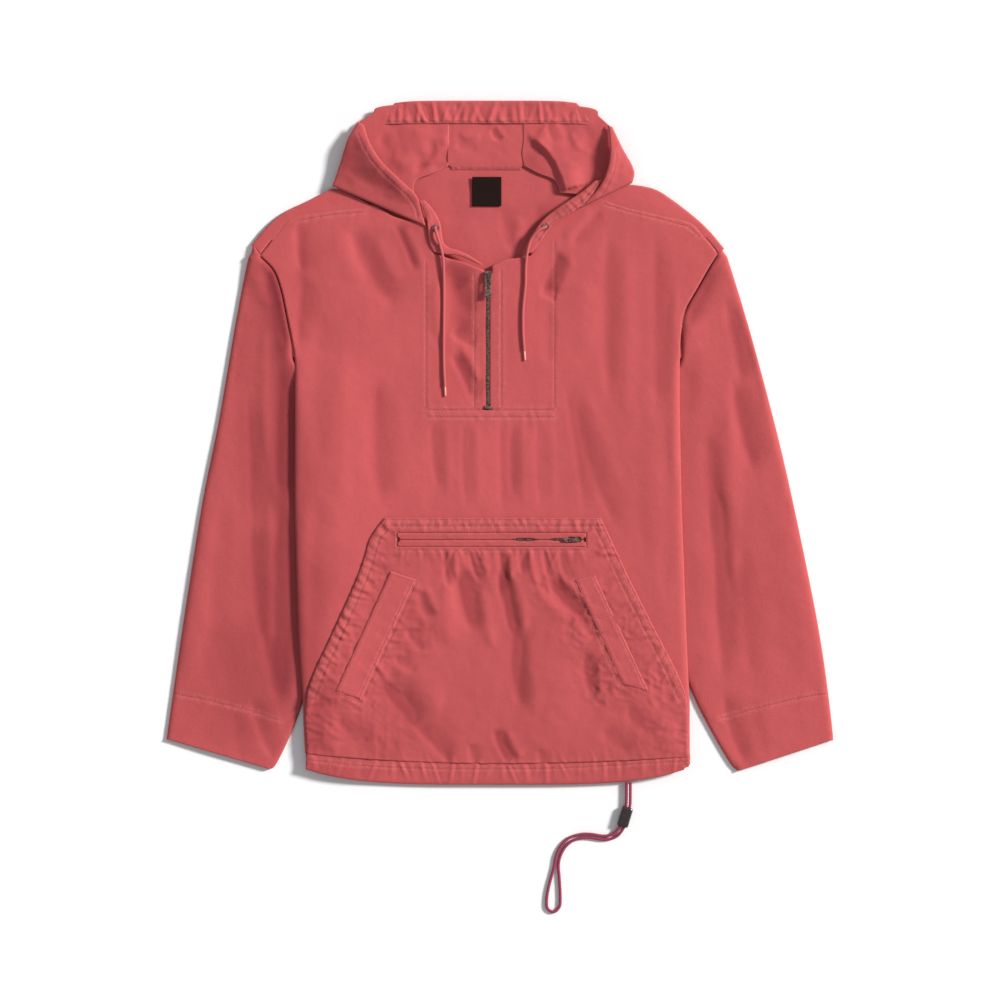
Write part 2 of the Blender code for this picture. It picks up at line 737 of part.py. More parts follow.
def hood_pad():
    """The layers folded away under the hood, as one rounded solid."""
    outline = [(-150, 338), (-168, 352), (-163, 372), (-142, 392), (-100, 400), (-18, 401), (70, 400),
               (106, 390), (126, 366), (138, 350), (122, 338), (70, 334), (-18, 333), (-100, 334)]
    data = bpy.data.curves.new("hood_fold", "CURVE")
    data.dimensions = "2D"
    data.fill_mode = "BOTH"
    data.extrude = PAD_TOP / 2 * MM - 0.0012
    data.bevel_depth = 0.0012
    data.bevel_resolution = 1
    line = data.splines.new("POLY")
    smooth_outline = curve_through([(*p, 0) for p in outline + outline[:1]], 2)[:-1]
    line.points.add(len(smooth_outline) - 1)
    for point, place in zip(line.points, smooth_outline):
        point.co = (*(place * MM), 1.0)
    line.use_cyclic_u = True
    guide = bpy.data.objects.new("hood_fold_outline", data)
    parts.objects.link(guide)
    bpy.context.view_layer.update()
    solid = bpy.data.meshes.new_from_object(guide.evaluated_get(bpy.context.evaluated_depsgraph_get()))
    bpy.data.objects.remove(guide, do_unlink=True)
    bm = bmesh.new()
    bm.from_mesh(solid)
    bmesh.ops.remove_doubles(bm, verts=bm.verts, dist=0.00001)
    bmesh.ops.translate(bm, verts=bm.verts, vec=(0, 0, PAD_TOP / 2 * MM))
    bmesh.ops.recalc_face_normals(bm, faces=bm.faces[:])
    bpy.data.meshes.remove(solid)
    return pile.add(mesh_object("hood_fold", bm, cloth()))


def crown_casing():
    """The turned and stitched casing along the crown, its inside up."""
    rows = []
    for share in (0.0, 0.5, 1.0):
        row = []
        for j in range(15):
            s = j / 14
            y = blend(CASING_Y, CROWN_Y, share)
            x = blend(blend(-150.0, -126.0, share), blend(120.0, 92.0, share), s)
            row.append((x, y - 2.5 * abs(2 * s - 1) ** 6, pile.top(x, y, 9) + GAP))
        rows.append(row)
    return pile.add(laid_panel("hood_casing", rows, 1.2))


def casing_end(name, table):
    """The end of the hood casing that lies open beside the neck, its inside up."""
    outer = curve_through([(r[0], r[1], 0) for r in table], 2)
    inner = curve_through([(r[2], r[3], 0) for r in table], 2)
    rows = []
    for o, i in zip(outer, inner):
        row = []
        for share in (0.0, 0.5, 1.0):
            at = o.lerp(i, share)
            row.append((at.x, at.y, max(NECK_LIFT, pile.top(at.x, at.y, 12) + GAP)))
        rows.append(row)
    return pile.add(laid_panel(name, rows, 1.2))


def kangaroo_pocket():
    """The pouch over the belly, with its zip opening and two slanted mouths."""
    rows = []
    levels = [0, 0.035, 0.085, 0.14, 0.2, 0.27, 0.35, 0.44, 0.54, 0.64, 0.74, 0.83, 0.92, 1]
    across = 20
    for share in levels:
        row = []
        for j in range(across + 1):
            s = j / across
            foot = hem_seam(2 * s - 1) + 2 * SEAM
            y = blend(POCKET_TOP, foot, share)
            x = blend(column_at(POCKET_SIDES, 1, y), column_at(POCKET_SIDES, 2, y), s)
            edge = min(smooth(s / 0.12), smooth((1 - s) / 0.12), smooth(share / 0.05), smooth((1 - share) / 0.05))
            lift = (POCKET_LIFT + fold_height(POCKET_FOLDS, x, y)) * edge
            lift += front_level(x, y) + 0.6 + CLOTH + GAP
            row.append((x, y, max(lift, pile.top(x, y, 18) + GAP)))
        rows.append(row)
    pocket = laid_panel("kangaroo_pocket", rows[::-1])
    left, right, top, bottom = POCKET_ZIP
    cut(pocket, add_cutter(box("zip_opening", (left, bottom, 0), (right, top, 60), cloth(), where=cutters)))
    for name, corners in (("left", HAND_WELT_LEFT), ("right", HAND_WELT_RIGHT)):
        slit = slit_outline(corners, name == "left")
        cut(pocket, add_cutter(prism("hand_slit_" + name, slit, 0, 60, where=cutters)))
    return pile.add(pocket)


def slit_outline(corners, left_side):
    """The slit under a hand welt, along its outer edge."""
    a, b, c, d = [Vector((*p, 0)) for p in corners]
    outer_top, outer_foot, inner_top, inner_foot = (a, d, b, c) if left_side else (b, c, a, d)
    inwards = (inner_top - outer_top).normalized()
    top, foot = outer_top.lerp(outer_foot, 0.12), outer_top.lerp(outer_foot, 0.9)
    return [top + inwards * 3, foot + inwards * 3, foot + inwards * (3 + HAND_SLIT),
            top + inwards * (3 + HAND_SLIT)]


def prism(name, outline, low, high, where=parts):
    """An upright block on a flat outline."""
    bm = bmesh.new()
    face = bm.faces.new([bm.verts.new(Vector((p[0], p[1], low)) * MM) for p in outline])
    grown = bmesh.ops.extrude_face_region(bm, geom=[face], use_keep_orig=True)
    risen = [v for v in grown["geom"] if isinstance(v, bmesh.types.BMVert)]
    bmesh.ops.translate(bm, verts=risen, vec=(0, 0, (high - low) * MM))
    bmesh.ops.recalc_face_normals(bm, faces=bm.faces[:])
    return mesh_object(name, bm, cloth(), where)


def hand_welt(name, corners):
    """The stitched strip that covers a slanted pocket mouth."""
    a, b, c, d = [Vector((*p, 0)) for p in corners]
    rows = []
    for i in range(9):
        left, right = a.lerp(d, i / 8), b.lerp(c, i / 8)
        row = []
        for share in (0.0, 0.5, 1.0):
            at = left.lerp(right, share)
            row.append((at.x, at.y, pile.top(at.x, at.y, 17) + GAP))
        rows.append(row)
    return pile.add(laid_panel(name, rows[::-1]))


def zip_welts():
    """The two lips of the pocket zip, which lie in its opening over the chain."""
    left, right, top, bottom = POCKET_ZIP
    middle = (top + bottom) / 2
    level = POCKET_ZIP_LIFT + 2.6
    for name, low, high in (("pocket_welt_upper", middle + POCKET_ZIP_GAP / 2, top - GAP),
                            ("pocket_welt_lower", bottom + GAP, middle - POCKET_ZIP_GAP / 2)):
        rows = [[(blend(left + GAP, right - GAP, j / 8), y, level) for j in range(9)] for y in (low, high)]
        pile.add(laid_panel(name, rows, 1.4))


def neck_label():
    x, y, side = LABEL
    rows = []
    for i in range(3):
        row = []
        for j in range(3):
            px, py = x + side * j / 2, y + side * i / 2
            row.append((px, py, pile.top(px, py, 18) + GAP))
        rows.append(row)
    label = material("woven_label", (0.03, 0.015, 0.012), 0.7)
    return pile.add(laid_panel("neck_label", rows, 1.0, label))


# ---------------------------------------------------------------- zips
def zip_level(y):
    """Highest level for the front zip's tape under the edges of its opening."""
    beside = [front_height(x, y + dy, 26) for x in (-36, -18.5, -9.5, 8) for dy in (-12, 12)]
    return min(beside) - GAP - ZIP_TAPE


def front_zip():
    """Tape, chain and foot stop of the front zip, before the front is laid over them."""
    heights = [blend(ZIP_FOOT - 8, ZIP_HEAD - 3, i / 9) for i in range(10)]
    rows = [[(ZIP_X + dx, y, zip_level(y)) for dx in (-11, 11)] for y in heights]
    laid_panel("front_zip_tape", rows, ZIP_TAPE, material("zip_tape", (0.25, 0.06, 0.06), 0.8))
    chain = [[(ZIP_X + dx, y, zip_level(y) + ZIP_TAPE + 0.3) for dx in (-CHAIN / 2, CHAIN / 2)]
             for y in [max(ZIP_FOOT + 5, heights[0])] + [h for h in heights if h > ZIP_FOOT + 10]]
    laid_panel("front_zip_chain", chain, CHAIN_HEIGHT, brass())
    level = max(zip_level(ZIP_FOOT + dy) for dy in (-6, 6)) + ZIP_TAPE + 0.3
    box("front_zip_stop", (ZIP_X - 4, ZIP_FOOT + 0.7, level), (ZIP_X + 4, ZIP_FOOT + 4.6, level + 4.2),
        brass(), 0.4)
    return max(point[2] for row in chain[-3:] for point in row) + CHAIN_HEIGHT


def slider(name, at, turn, width, length):
    """A zip slider with its nose towards local +Y and a bridge for its pull."""
    outline = [(-0.36, -0.5), (0.36, -0.5), (0.47, -0.1), (0.5, 0.3), (0.38, 0.5), (-0.38, 0.5),
               (-0.5, 0.3), (-0.47, -0.1)]
    body = prism(name, [(x * width, y * length) for x, y in outline], 0, SLIDER_BODY)
    finish(body, brass(), smooth_shading=False)
    half, top = BRIDGE_WIDTH / 2, SLIDER_BODY + 3.2
    bridge = prism(name + "_bridge", [(-half, -3.7), (half, -3.7), (half, 3.2), (-half, 3.2)],
                   SLIDER_BODY - 0.4, top, where=cutters)
    eye = prism(name + "_eye", [(-3, -2.4), (3, -2.4), (3, 1.9), (-3, 1.9)],
                SLIDER_BODY, top - 0.8, where=cutters)
    union = body.modifiers.new("bridge", "BOOLEAN")
    union.operation = "UNION"
    union.object = add_cutter(bridge)
    cut(body, add_cutter(eye))
    for piece in (body, bridge, eye):
        piece.location = Vector(at) * MM
        piece.rotation_euler.z = turn


def pull_tab(name, at, turn, width, length):
    """A pull tab on a slider's bridge, lying towards local -Y, its origin on its axis."""
    hinge = bpy.data.objects.new(name + "_hinge", None)
    parts.objects.link(hinge)
    hinge.location = Vector(at) * MM
    hinge.rotation_euler.z = turn
    half, thick = width / 2, PULL_THICK / 2
    plate = box(name, (-half, -length, -thick), (half, 0.7, thick), brass(), 0.3)
    eye_half = BRIDGE_WIDTH / 2 + 0.5
    slot_half = half * 0.42
    holes = [box(name + "_eye", (-eye_half, -4.7, -5), (eye_half, -0.7, 5), brass(), where=cutters),
             box(name + "_slot", (-slot_half, -length * 0.62, -5), (slot_half, -6.0, 5), brass(),
                 where=cutters)]
    for hole in holes:
        cut(plate, add_cutter(hole))
    for piece in [plate] + holes:
        piece.parent = hinge


def sliders(front_top):
    """Both sliders with their pulls; the pocket's one stands at the right of its chain."""
    left, right, top, bottom = POCKET_ZIP
    middle = (top + bottom) / 2
    chain_low = POCKET_ZIP_LIFT
    box("pocket_zip_chain", (left + 1, middle - 2.4, chain_low), (right - 1, middle + 2.4, chain_low + 2.2),
        brass())
    for name, x, y, level, turn, width, length, pull_width, pull_length in (
            ("front_zip", ZIP_X, ZIP_HEAD - 5.5, max(front_top, pile.top(ZIP_X, ZIP_HEAD - 6, 7)), 0.0,
             9.4, 10.8, 7.6, 26.0),
            ("pocket_zip", POCKET_SLIDER_X, middle, chain_low + 2.2, -math.pi / 2, 5.6, 9.6, 4.6, 14.0)):
        slider(name + "_slider", (x, y, level + 0.3), turn, width, length)
        axis = (x, y, level + 0.3 + SLIDER_BODY + 1.2)
        pull_tab(name + "_pull", axis, turn, pull_width, pull_length)


# ---------------------------------------------------------------- cords
def eyelet(name, at):
    x, y = at
    return pile.add(ring(name, (x, y, pile.top(x, y, EYELET_RING[0]) + 0.35), *EYELET_RING, 1.0, brass()))


def laid_route(points):
    """A cord's route with the height of what it lies on, rising out of its eyelet."""
    route = []
    for n, (x, y) in enumerate(points):
        extra = (1.2, 0.8, 0.3)[n] if n < 3 else 0.0
        route.append((x, y, pile.top(x, y, 7) + CORD / 2 + GAP + extra))
    return route


def hood_cord(side, points, dye, tip):
    route = laid_route(points)
    cord("hood_cord_" + side, route, dye)
    end, before = Vector(route[-1]), Vector(route[-2])
    along = Vector((end.x - before.x, end.y - before.y, 0)).normalized()
    start = end + along * 0.4
    finish_at = start + along * TIP_LENGTH
    finish_at.z = max(end.z - 0.6, pile.top(finish_at.x, finish_at.y, 5) + TIP / 2 + GAP)
    cord("cord_tip_" + side, [start, finish_at], tip, TIP, 2.3)


def hem_cord(dye):
    """The hem drawcord: out of the casing, through its stop, round a loop and back."""
    route = []
    for x, y in HEM_CORD:
        held = smooth((y + 480) / 18)
        route.append((x, y, blend(CORD / 2 + 0.2, STOP_BORE_HEIGHT, held)))
    cord("hem_cord", route, dye)


def cord_stop():
    """A barrel stop with one flat bore for both strands, lying on the table."""
    width, length, height = CORD_STOP
    colour = material("stop_plastic", (0.035, 0.02, 0.018), 0.45)
    low, bore_x, bore_z = 0.2, 5.2, 2.5
    stop = box("cord_stop", (-width / 2, -length / 2, low), (width / 2, length / 2, low + height), colour, 2.6)
    bore = box("cord_stop_bore", (-bore_x, -length, STOP_BORE_HEIGHT - bore_z),
               (bore_x, length, STOP_BORE_HEIGHT + bore_z), colour, where=cutters)
    for piece in (stop, bore):
        piece.location.x = CORD_STOP_AT[0] * MM
        piece.location.y = CORD_STOP_AT[1] * MM
        piece.rotation_euler.z = -math.radians(CORD_STOP_TURN)
    cut(stop, add_cutter(bore))


def drawcords():
    dye = material("cord_cotton", (0.52, 0.12, 0.13), 0.9)
    tip = material("cord_tip", (0.8, 0.35, 0.33), 0.3)
    hood_cord("left", HOOD_CORD_LEFT, dye, tip)
    hood_cord("right", HOOD_CORD_RIGHT, dye, tip)
    hem_cord(material("hem_cord_cotton", (0.26, 0.03, 0.07), 0.9))
    cord_stop()


def main():
    clear_scene()
    sleeve("sleeve_left", SLEEVE_LEFT, [(r[0], r[1]) for r in ARMHOLES], SLEEVE_LEFT_FOLDS, -1)
    sleeve("sleeve_right", SLEEVE_RIGHT, [(r[2], r[3]) for r in ARMHOLES], SLEEVE_RIGHT_FOLDS, 1)
    back_panel()
    hem_casing("hem_casing_back", CLOTH, 1.0, lambda x, y: 0.0)
    front_top = front_zip()
    front_panel()
    hem_casing("hem_casing_front", 3.0, 0.0, lambda x, y: front_level(x, y) - 1.2)
    shoulder("shoulder_left", SHOULDER_LEFT)
    shoulder("shoulder_right", SHOULDER_RIGHT)
    hood_pad()
    hood_side("hood_left", HOOD_LEFT, -1)
    hood_side("hood_right", HOOD_RIGHT, 1)
    hood_centre()
    neck_label()
    crown_casing()
    casing_end("hood_casing_left", CASING_LEFT)
    casing_end("hood_casing_right", CASING_RIGHT)
    kangaroo_pocket()
    zip_welts()
    hand_welt("hand_welt_left", HAND_WELT_LEFT)
    hand_welt("hand_welt_right", HAND_WELT_RIGHT)
    sliders(front_top)
    eyelet("eyelet_left", EYELET_LEFT)
    eyelet("eyelet_right", EYELET_RIGHT)
    drawcords()


main()
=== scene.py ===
import math
import random

import bmesh
import bpy
import numpy as np
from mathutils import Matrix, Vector, noise
from mathutils.bvhtree import BVHTree
from mathutils.geometry import delaunay_2d_cdt
from mathutils.kdtree import KDTree


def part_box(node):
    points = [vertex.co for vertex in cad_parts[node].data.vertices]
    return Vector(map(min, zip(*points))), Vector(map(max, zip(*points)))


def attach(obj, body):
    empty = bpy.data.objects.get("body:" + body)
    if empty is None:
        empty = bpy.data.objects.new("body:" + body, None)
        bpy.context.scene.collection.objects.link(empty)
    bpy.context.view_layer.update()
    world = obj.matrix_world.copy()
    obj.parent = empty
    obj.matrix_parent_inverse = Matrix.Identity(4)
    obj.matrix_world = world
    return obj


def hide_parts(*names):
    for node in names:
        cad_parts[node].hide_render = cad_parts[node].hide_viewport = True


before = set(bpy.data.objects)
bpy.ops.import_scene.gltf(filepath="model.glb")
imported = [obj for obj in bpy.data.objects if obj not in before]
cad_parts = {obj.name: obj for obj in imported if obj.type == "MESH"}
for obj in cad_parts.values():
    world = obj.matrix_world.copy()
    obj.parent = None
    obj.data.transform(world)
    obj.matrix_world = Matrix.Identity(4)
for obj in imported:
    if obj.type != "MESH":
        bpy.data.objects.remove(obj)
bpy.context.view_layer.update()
mm = 0.001                     # tables and lengths below are in millimetres
bpy.ops.object.select_all(action="DESELECT")

# camera, light and floor
studio = {"view": 1200.0, "lens": 130.0, "middle": (0.3, -68.8), "keyHeight": 33.0, "keySide": 24.0,
          "key": 4.0, "keySoftness": 11.0, "sky": 0.385, "floor": 0.985}

camera = bpy.data.objects.new("camera", bpy.data.cameras.new("camera"))
bpy.context.scene.collection.objects.link(camera)
camera.data.lens = studio["lens"]
camera.data.clip_end = 60.0
camera.location = (studio["middle"][0] * mm, studio["middle"][1] * mm,
                   studio["view"] * mm * studio["lens"] / camera.data.sensor_width + 0.01)
bpy.context.scene.camera = camera
bpy.context.scene.view_settings.view_transform = "Standard"

key = bpy.data.objects.new("key", bpy.data.lights.new("key", "SUN"))
bpy.context.scene.collection.objects.link(key)
key.data.energy = studio["key"]
key.data.angle = math.radians(studio["keySoftness"])
key.data.color = (1.0, 0.985, 0.965)
up, side = math.radians(studio["keyHeight"]), math.radians(studio["keySide"])
towardsKey = Vector((math.cos(up) * math.cos(side), math.cos(up) * math.sin(side), math.sin(up)))
key.rotation_mode = "QUATERNION"
key.rotation_quaternion = towardsKey.to_track_quat("Z", "Y")

sky = bpy.data.worlds.new("studio")
sky.use_nodes = True
sky.node_tree.nodes["Background"].inputs["Color"].default_value = (0.94, 0.96, 1.0, 1.0)
sky.node_tree.nodes["Background"].inputs["Strength"].default_value = studio["sky"]
bpy.context.scene.world = sky


# materials
class Wire:
    # one value or colour on its way through a material's nodes
    def __init__(self, tree, socket):
        self.tree, self.socket = tree, socket

    def maths(self, operation, *others):
        made = self.tree.nodes.new("ShaderNodeMath")
        made.operation = operation
        for place, value in enumerate((self, *others)):
            if isinstance(value, Wire):
                self.tree.links.new(value.socket, made.inputs[place])
            else:
                made.inputs[place].default_value = value
        return Wire(self.tree, made.outputs[0])

    def swapped(self, operation, other):
        made = self.tree.nodes.new("ShaderNodeMath")
        made.operation = operation
        made.inputs[0].default_value = other
        self.tree.links.new(self.socket, made.inputs[1])
        return Wire(self.tree, made.outputs[0])

    def __add__(self, other):
        return self.maths("ADD", other)

    def __radd__(self, other):
        return self.maths("ADD", other)

    def __sub__(self, other):
        return self.maths("SUBTRACT", other)

    def __rsub__(self, other):
        return self.swapped("SUBTRACT", other)

    def __mul__(self, other):
        return self.maths("MULTIPLY", other)

    def __rmul__(self, other):
        return self.maths("MULTIPLY", other)

    def __truediv__(self, other):
        return self.maths("DIVIDE", other)


class Finish:
    # a material being wired up
    def __init__(self, name):
        self.material = bpy.data.materials.new(name)
        self.material.use_nodes = True
        self.tree = self.material.node_tree
        self.shader = self.tree.nodes["Principled BSDF"]

    def node(self, kind, settings=None, sockets=None, output=0):
        made = self.tree.nodes.new("ShaderNode" + kind)
        for name, value in (settings or {}).items():
            if name == "stops":
                for stop, (at, shade) in zip([made.color_ramp.elements[0], made.color_ramp.elements[1]]
                                             + [made.color_ramp.elements.new(0.5) for _ in value[2:]], value):
                    stop.position, stop.color = at, (*shade, 1.0)
            else:
                setattr(made, name, value)
        for name, value in (sockets or {}).items():
            if isinstance(value, Wire):
                self.tree.links.new(value.socket, made.inputs[name])
            else:
                made.inputs[name].default_value = value
        return Wire(self.tree, made.outputs[output])

    def feed(self, socket, value):
        if isinstance(value, Wire):
            self.tree.links.new(value.socket, self.shader.inputs[socket])
        else:
            self.shader.inputs[socket].default_value = value

    def mixed(self, amount, first, second, how="MIX"):
        made = self.tree.nodes.new("ShaderNodeMix")
        made.data_type, made.blend_type = "RGBA", how
        for place, value in ((0, amount), (6, first), (7, second)):
            if isinstance(value, Wire):
                self.tree.links.new(value.socket, made.inputs[place])
            else:
                made.inputs[place].default_value = value if place == 0 else (*value, 1.0)
        return Wire(self.tree, made.outputs[2])

    def place(self, turn=0.0, scale=(1.0, 1.0, 1.0)):
        where = self.node("TexCoord", output=3)
        return self.node("Mapping", {}, {"Vector": where, "Rotation": (0.0, 0.0, math.radians(turn)),
                                         "Scale": scale})

    def cloudy(self, where, size, detail=3.0, roughness=0.55):
        return self.node("TexNoise", {}, {"Vector": where, "Scale": 1.0 / (size * mm), "Detail": detail,
                                          "Roughness": roughness})

    def ramp(self, value, low, high, start=0.0, end=1.0):
        return self.node("MapRange", {"clamp": True}, {"Value": value, "From Min": low, "From Max": high,
                                                       "To Min": start, "To Max": end})

    def attribute(self, name):
        return self.node("Attribute", {"attribute_name": name}, output=2)

    def relief(self, height, distance, strength=1.0, under=None):
        sockets = {"Height": height, "Distance": distance * mm, "Strength": strength}
        if under is not None:
            sockets["Normal"] = under
        return self.node("Bump", {}, sockets)


# mottleAndShade is the cloth's darker colour, used for its uneven mottling and for painted shade
cotton = {"lit": (0.608, 0.1035, 0.1065), "mottleAndShade": (0.245, 0.026, 0.035), "rubbed": (0.70, 0.18, 0.17),
          "thread": 0.62, "roughness": 0.82}


def dyedCotton(name, turn=0.0, tone=1.0, shadeShare=0.0):
    # garment-dyed plain weave: paler where seams rub, a little uneven all over; painted shade in folds, along
    # seams and in listed areas, mixed towards the darker colour
    made = Finish(name)
    where = made.place(turn)
    split = made.node("SeparateXYZ", {}, {"Vector": where})
    across = split
    down = Wire(made.tree, split.socket.node.outputs[1])
    pitch = 2 * math.pi / (cotton["thread"] * mm)
    warp, weft = (across * pitch).maths("SINE"), (down * pitch).maths("SINE")
    weave = warp * weft
    slubs = made.cloudy(made.place(turn, (1.0, 0.12, 1.0)), 0.9, 2.0)
    slubsDown = made.cloudy(made.place(turn, (0.12, 1.0, 1.0)), 0.9, 2.0)
    patchy = made.cloudy(where, 90.0, 4.0, 0.6)
    streaks = made.cloudy(made.place(turn, (1.0, 0.22, 1.0)), 26.0, 3.0)
    speckle = made.cloudy(where, 1.6, 2.0, 0.7)
    wear, fold = made.attribute("wear"), made.attribute("fold")
    lit, mottleAndShade = (tuple(c * tone for c in cotton[k]) for k in ("lit", "mottleAndShade"))
    unevenness = made.ramp(patchy * 0.6 + streaks * 0.4, 0.34, 0.68)
    # random mottling, and the copy's painted shade share, mixed towards the darker colour
    colour = made.mixed(0.065 + unevenness * 0.11 + shadeShare * 0.7, lit, mottleAndShade)
    # painted shade from the fold attribute: troughs, seam grooves and listed areas drawn darker
    colour = made.mixed((fold * 0.75).maths("MINIMUM", 0.85), colour, mottleAndShade)
    rubbed = (wear * made.ramp(speckle + slubs * 0.5, 0.62, 0.95)).maths("MINIMUM", 1.0)
    colour = made.mixed(rubbed * 0.62, colour, cotton["rubbed"])
    grain = made.ramp(speckle * 0.5 + slubs * 0.25 + slubsDown * 0.25, 0.3, 0.7, 0.90, 1.08)
    colour = made.node("VectorMath", {"operation": "SCALE"}, {"Vector": colour, "Scale": grain})
    made.feed("Base Color", colour)
    made.feed("Roughness", made.ramp(speckle, 0.3, 0.7, cotton["roughness"] - 0.05,
                                     cotton["roughness"] + 0.08))
    made.feed("Specular IOR Level", 0.22)
    made.feed("Sheen Weight", 0.09)
    made.feed("Sheen Roughness", 0.45)
    made.feed("Sheen Tint", (1.0, 0.62, 0.6, 1.0))
    threads = weave * 0.5 + slubs * 0.5 + slubsDown * 0.5
    crumple = made.cloudy(where, 11.0, 3.0, 0.5)
    soft = made.relief(crumple, 1.1, 0.5)
    made.feed("Normal", made.relief(threads, 0.12, 0.55, soft))
    return made.material


def woven(name, colour, pitchSize, roughness=0.8, ridge=0.2, shine=0.3):
    # tape, label or thread: fine straight ribs in one dark dye
    made = Finish(name)
    where = made.place()
    split = made.node("SeparateXYZ", {}, {"Vector": where})
    down = Wire(made.tree, split.socket.node.outputs[1])
    ribs = ((split * (2 * math.pi / (pitchSize * mm))).maths("SINE")
            * (down * (2 * math.pi / (pitchSize * 1.3 * mm))).maths("SINE"))
    fibres = made.cloudy(where, 0.7, 3.0, 0.65)
    tone = made.ramp(fibres * 0.7 + ribs * 0.3, 0.1, 0.7, 0.72, 1.25)
    made.feed("Base Color", made.node("VectorMath", {"operation": "SCALE"},
                                      {"Vector": made.mixed(0.0, colour, colour), "Scale": tone}))
    made.feed("Roughness", made.ramp(fibres, 0.3, 0.7, roughness - 0.06, roughness + 0.06))
    made.feed("Specular IOR Level", shine)
    made.feed("Normal", made.relief(ribs * 0.6 + fibres * 0.4, ridge, 0.7))
    return made.material


def agedBrass(name="agedBrass"):
    # worn metal: bright where it rubs, dark in its hollows
    made = Finish(name)
    where = made.place()
    tarnish = made.cloudy(where, 2.6, 5.0, 0.65)
    grit = made.cloudy(where, 0.35, 3.0, 0.7)
    edge = made.ramp(tarnish * 0.7 + grit * 0.3, 0.44, 0.66)
    colour = made.mixed(edge, (0.11, 0.052, 0.043), (0.60, 0.41, 0.36))
    made.feed("Base Color", colour)
    made.feed("Metallic", made.ramp(edge, 0.0, 1.0, 0.7, 1.0))
    made.feed("Roughness", made.ramp(grit, 0.3, 0.7, 0.30, 0.52))
    made.feed("Normal", made.relief(tarnish * 0.6 + grit * 0.4, 0.08, 0.7))
    return made.material


def mouldedPlastic(name, colour, roughness, speck=0.25):
    # a moulded stop or cord tip under a thin gloss
    made = Finish(name)
    where = made.place()
    cloud = made.cloudy(where, 3.0, 3.0)
    fine = made.cloudy(where, 0.4, 2.0, 0.6)
    tone = made.ramp(cloud * 0.7 + fine * 0.3, 0.3, 0.7, 1.0 - speck, 1.0 + speck)
    made.feed("Base Color", made.node("VectorMath", {"operation": "SCALE"},
                                      {"Vector": made.mixed(0.0, colour, colour), "Scale": tone}))
    made.feed("Roughness", made.ramp(fine, 0.3, 0.7, roughness - 0.07, roughness + 0.1))
    made.feed("Coat Weight", 0.35)
    made.feed("Coat Roughness", 0.18)
    made.feed("Normal", made.relief(fine, 0.03, 0.5))
    return made.material


def braidedCotton(name, light, dark):
    # the braid's strands are in the mesh; its colour and fibres come from the cord's own UV map, in metres
    made = Finish(name)
    where = made.node("UVMap")
    split = made.node("SeparateXYZ", {}, {"Vector": where})
    along = Wire(made.tree, split.socket.node.outputs[1])
    wrap = split
    leftHand = ((along * (math.pi / (1.9 * mm)) + wrap * (4 * math.pi)).maths("SINE")).maths("ABSOLUTE")
    rightHand = ((along * (math.pi / (1.9 * mm)) - wrap * (4 * math.pi)).maths("SINE")).maths("ABSOLUTE")
    strands = leftHand.maths("MAXIMUM", rightHand)
    fibres = made.cloudy(made.node("TexCoord", output=3), 0.5, 3.0, 0.7)
    # painted shade: the cord drawn in its dark colour between its strands
    made.feed("Base Color", made.mixed(made.ramp(strands * 0.6 + fibres * 0.4, 0.3, 0.8), dark, light))
    made.feed("Roughness", made.ramp(fibres, 0.3, 0.7, 0.74, 0.92))
    made.feed("Normal", made.relief(strands * 0.7 + fibres * 0.5, 0.3, 0.6))
    return made.material


floorFinish = Finish("paperFloor")
paper = floorFinish.cloudy(floorFinish.place(), 3.0, 3.0)
floorFinish.feed("Base Color", floorFinish.mixed(paper, (studio["floor"],) * 3,
                                                 (studio["floor"] - 0.02,) * 3))
floorFinish.feed("Roughness", floorFinish.ramp(paper, 0.3, 0.7, 0.8, 0.9))

bodyCotton = dyedCotton("bodyCotton")
# darker copies of the one cotton for pieces that lie in shade: a tone below 1 and a shade share are painted
# shade, most on the left sleeve
sleeveCottonLeft = dyedCotton("sleeveCottonLeft", 14.0, 0.93, 0.06)
sleeveCottonRight = dyedCotton("sleeveCottonRight", -14.0, 0.985, 0.02)
pocketCotton = dyedCotton("pocketCotton", 0.0, 0.95, 0.05)
bandCotton = dyedCotton("bandCotton", 0.0, 0.95, 0.05)
hoodCotton = dyedCotton("hoodCotton", 28.0, 0.96, 0.03)
insideCotton = dyedCotton("insideCotton", 3.0, 1.0, 0.0)
weltCottonLeft = dyedCotton("weltCottonLeft", 25.0, 1.0)
weltCottonRight = dyedCotton("weltCottonRight", -24.0, 1.0)
seamThread = woven("seamThread", (0.58, 0.125, 0.125), 0.3)
tapeWeave = woven("tapeWeave", (0.22, 0.045, 0.05), 0.8, 0.8, 0.3)
labelWeave = woven("labelWeave", (0.018, 0.008, 0.0055), 0.45, 0.8, 0.22, 0.12)
brass = agedBrass()
stopPlastic = mouldedPlastic("stopPlastic", (0.028, 0.016, 0.016), 0.32)
tipPlastic = mouldedPlastic("tipPlastic", (0.80, 0.36, 0.34), 0.22, 0.08)
cordCotton = braidedCotton("cordCotton", (0.60, 0.125, 0.13), (0.38, 0.05, 0.06))
hemCordCotton = braidedCotton("hemCordCotton", (0.36, 0.045, 0.10), (0.14, 0.012, 0.035))
print("materials made")


# helpers for reading the solids
def easeIn(t):
    t = np.clip(t, 0.0, 1.0)
    return t * t * (3 - 2 * t)


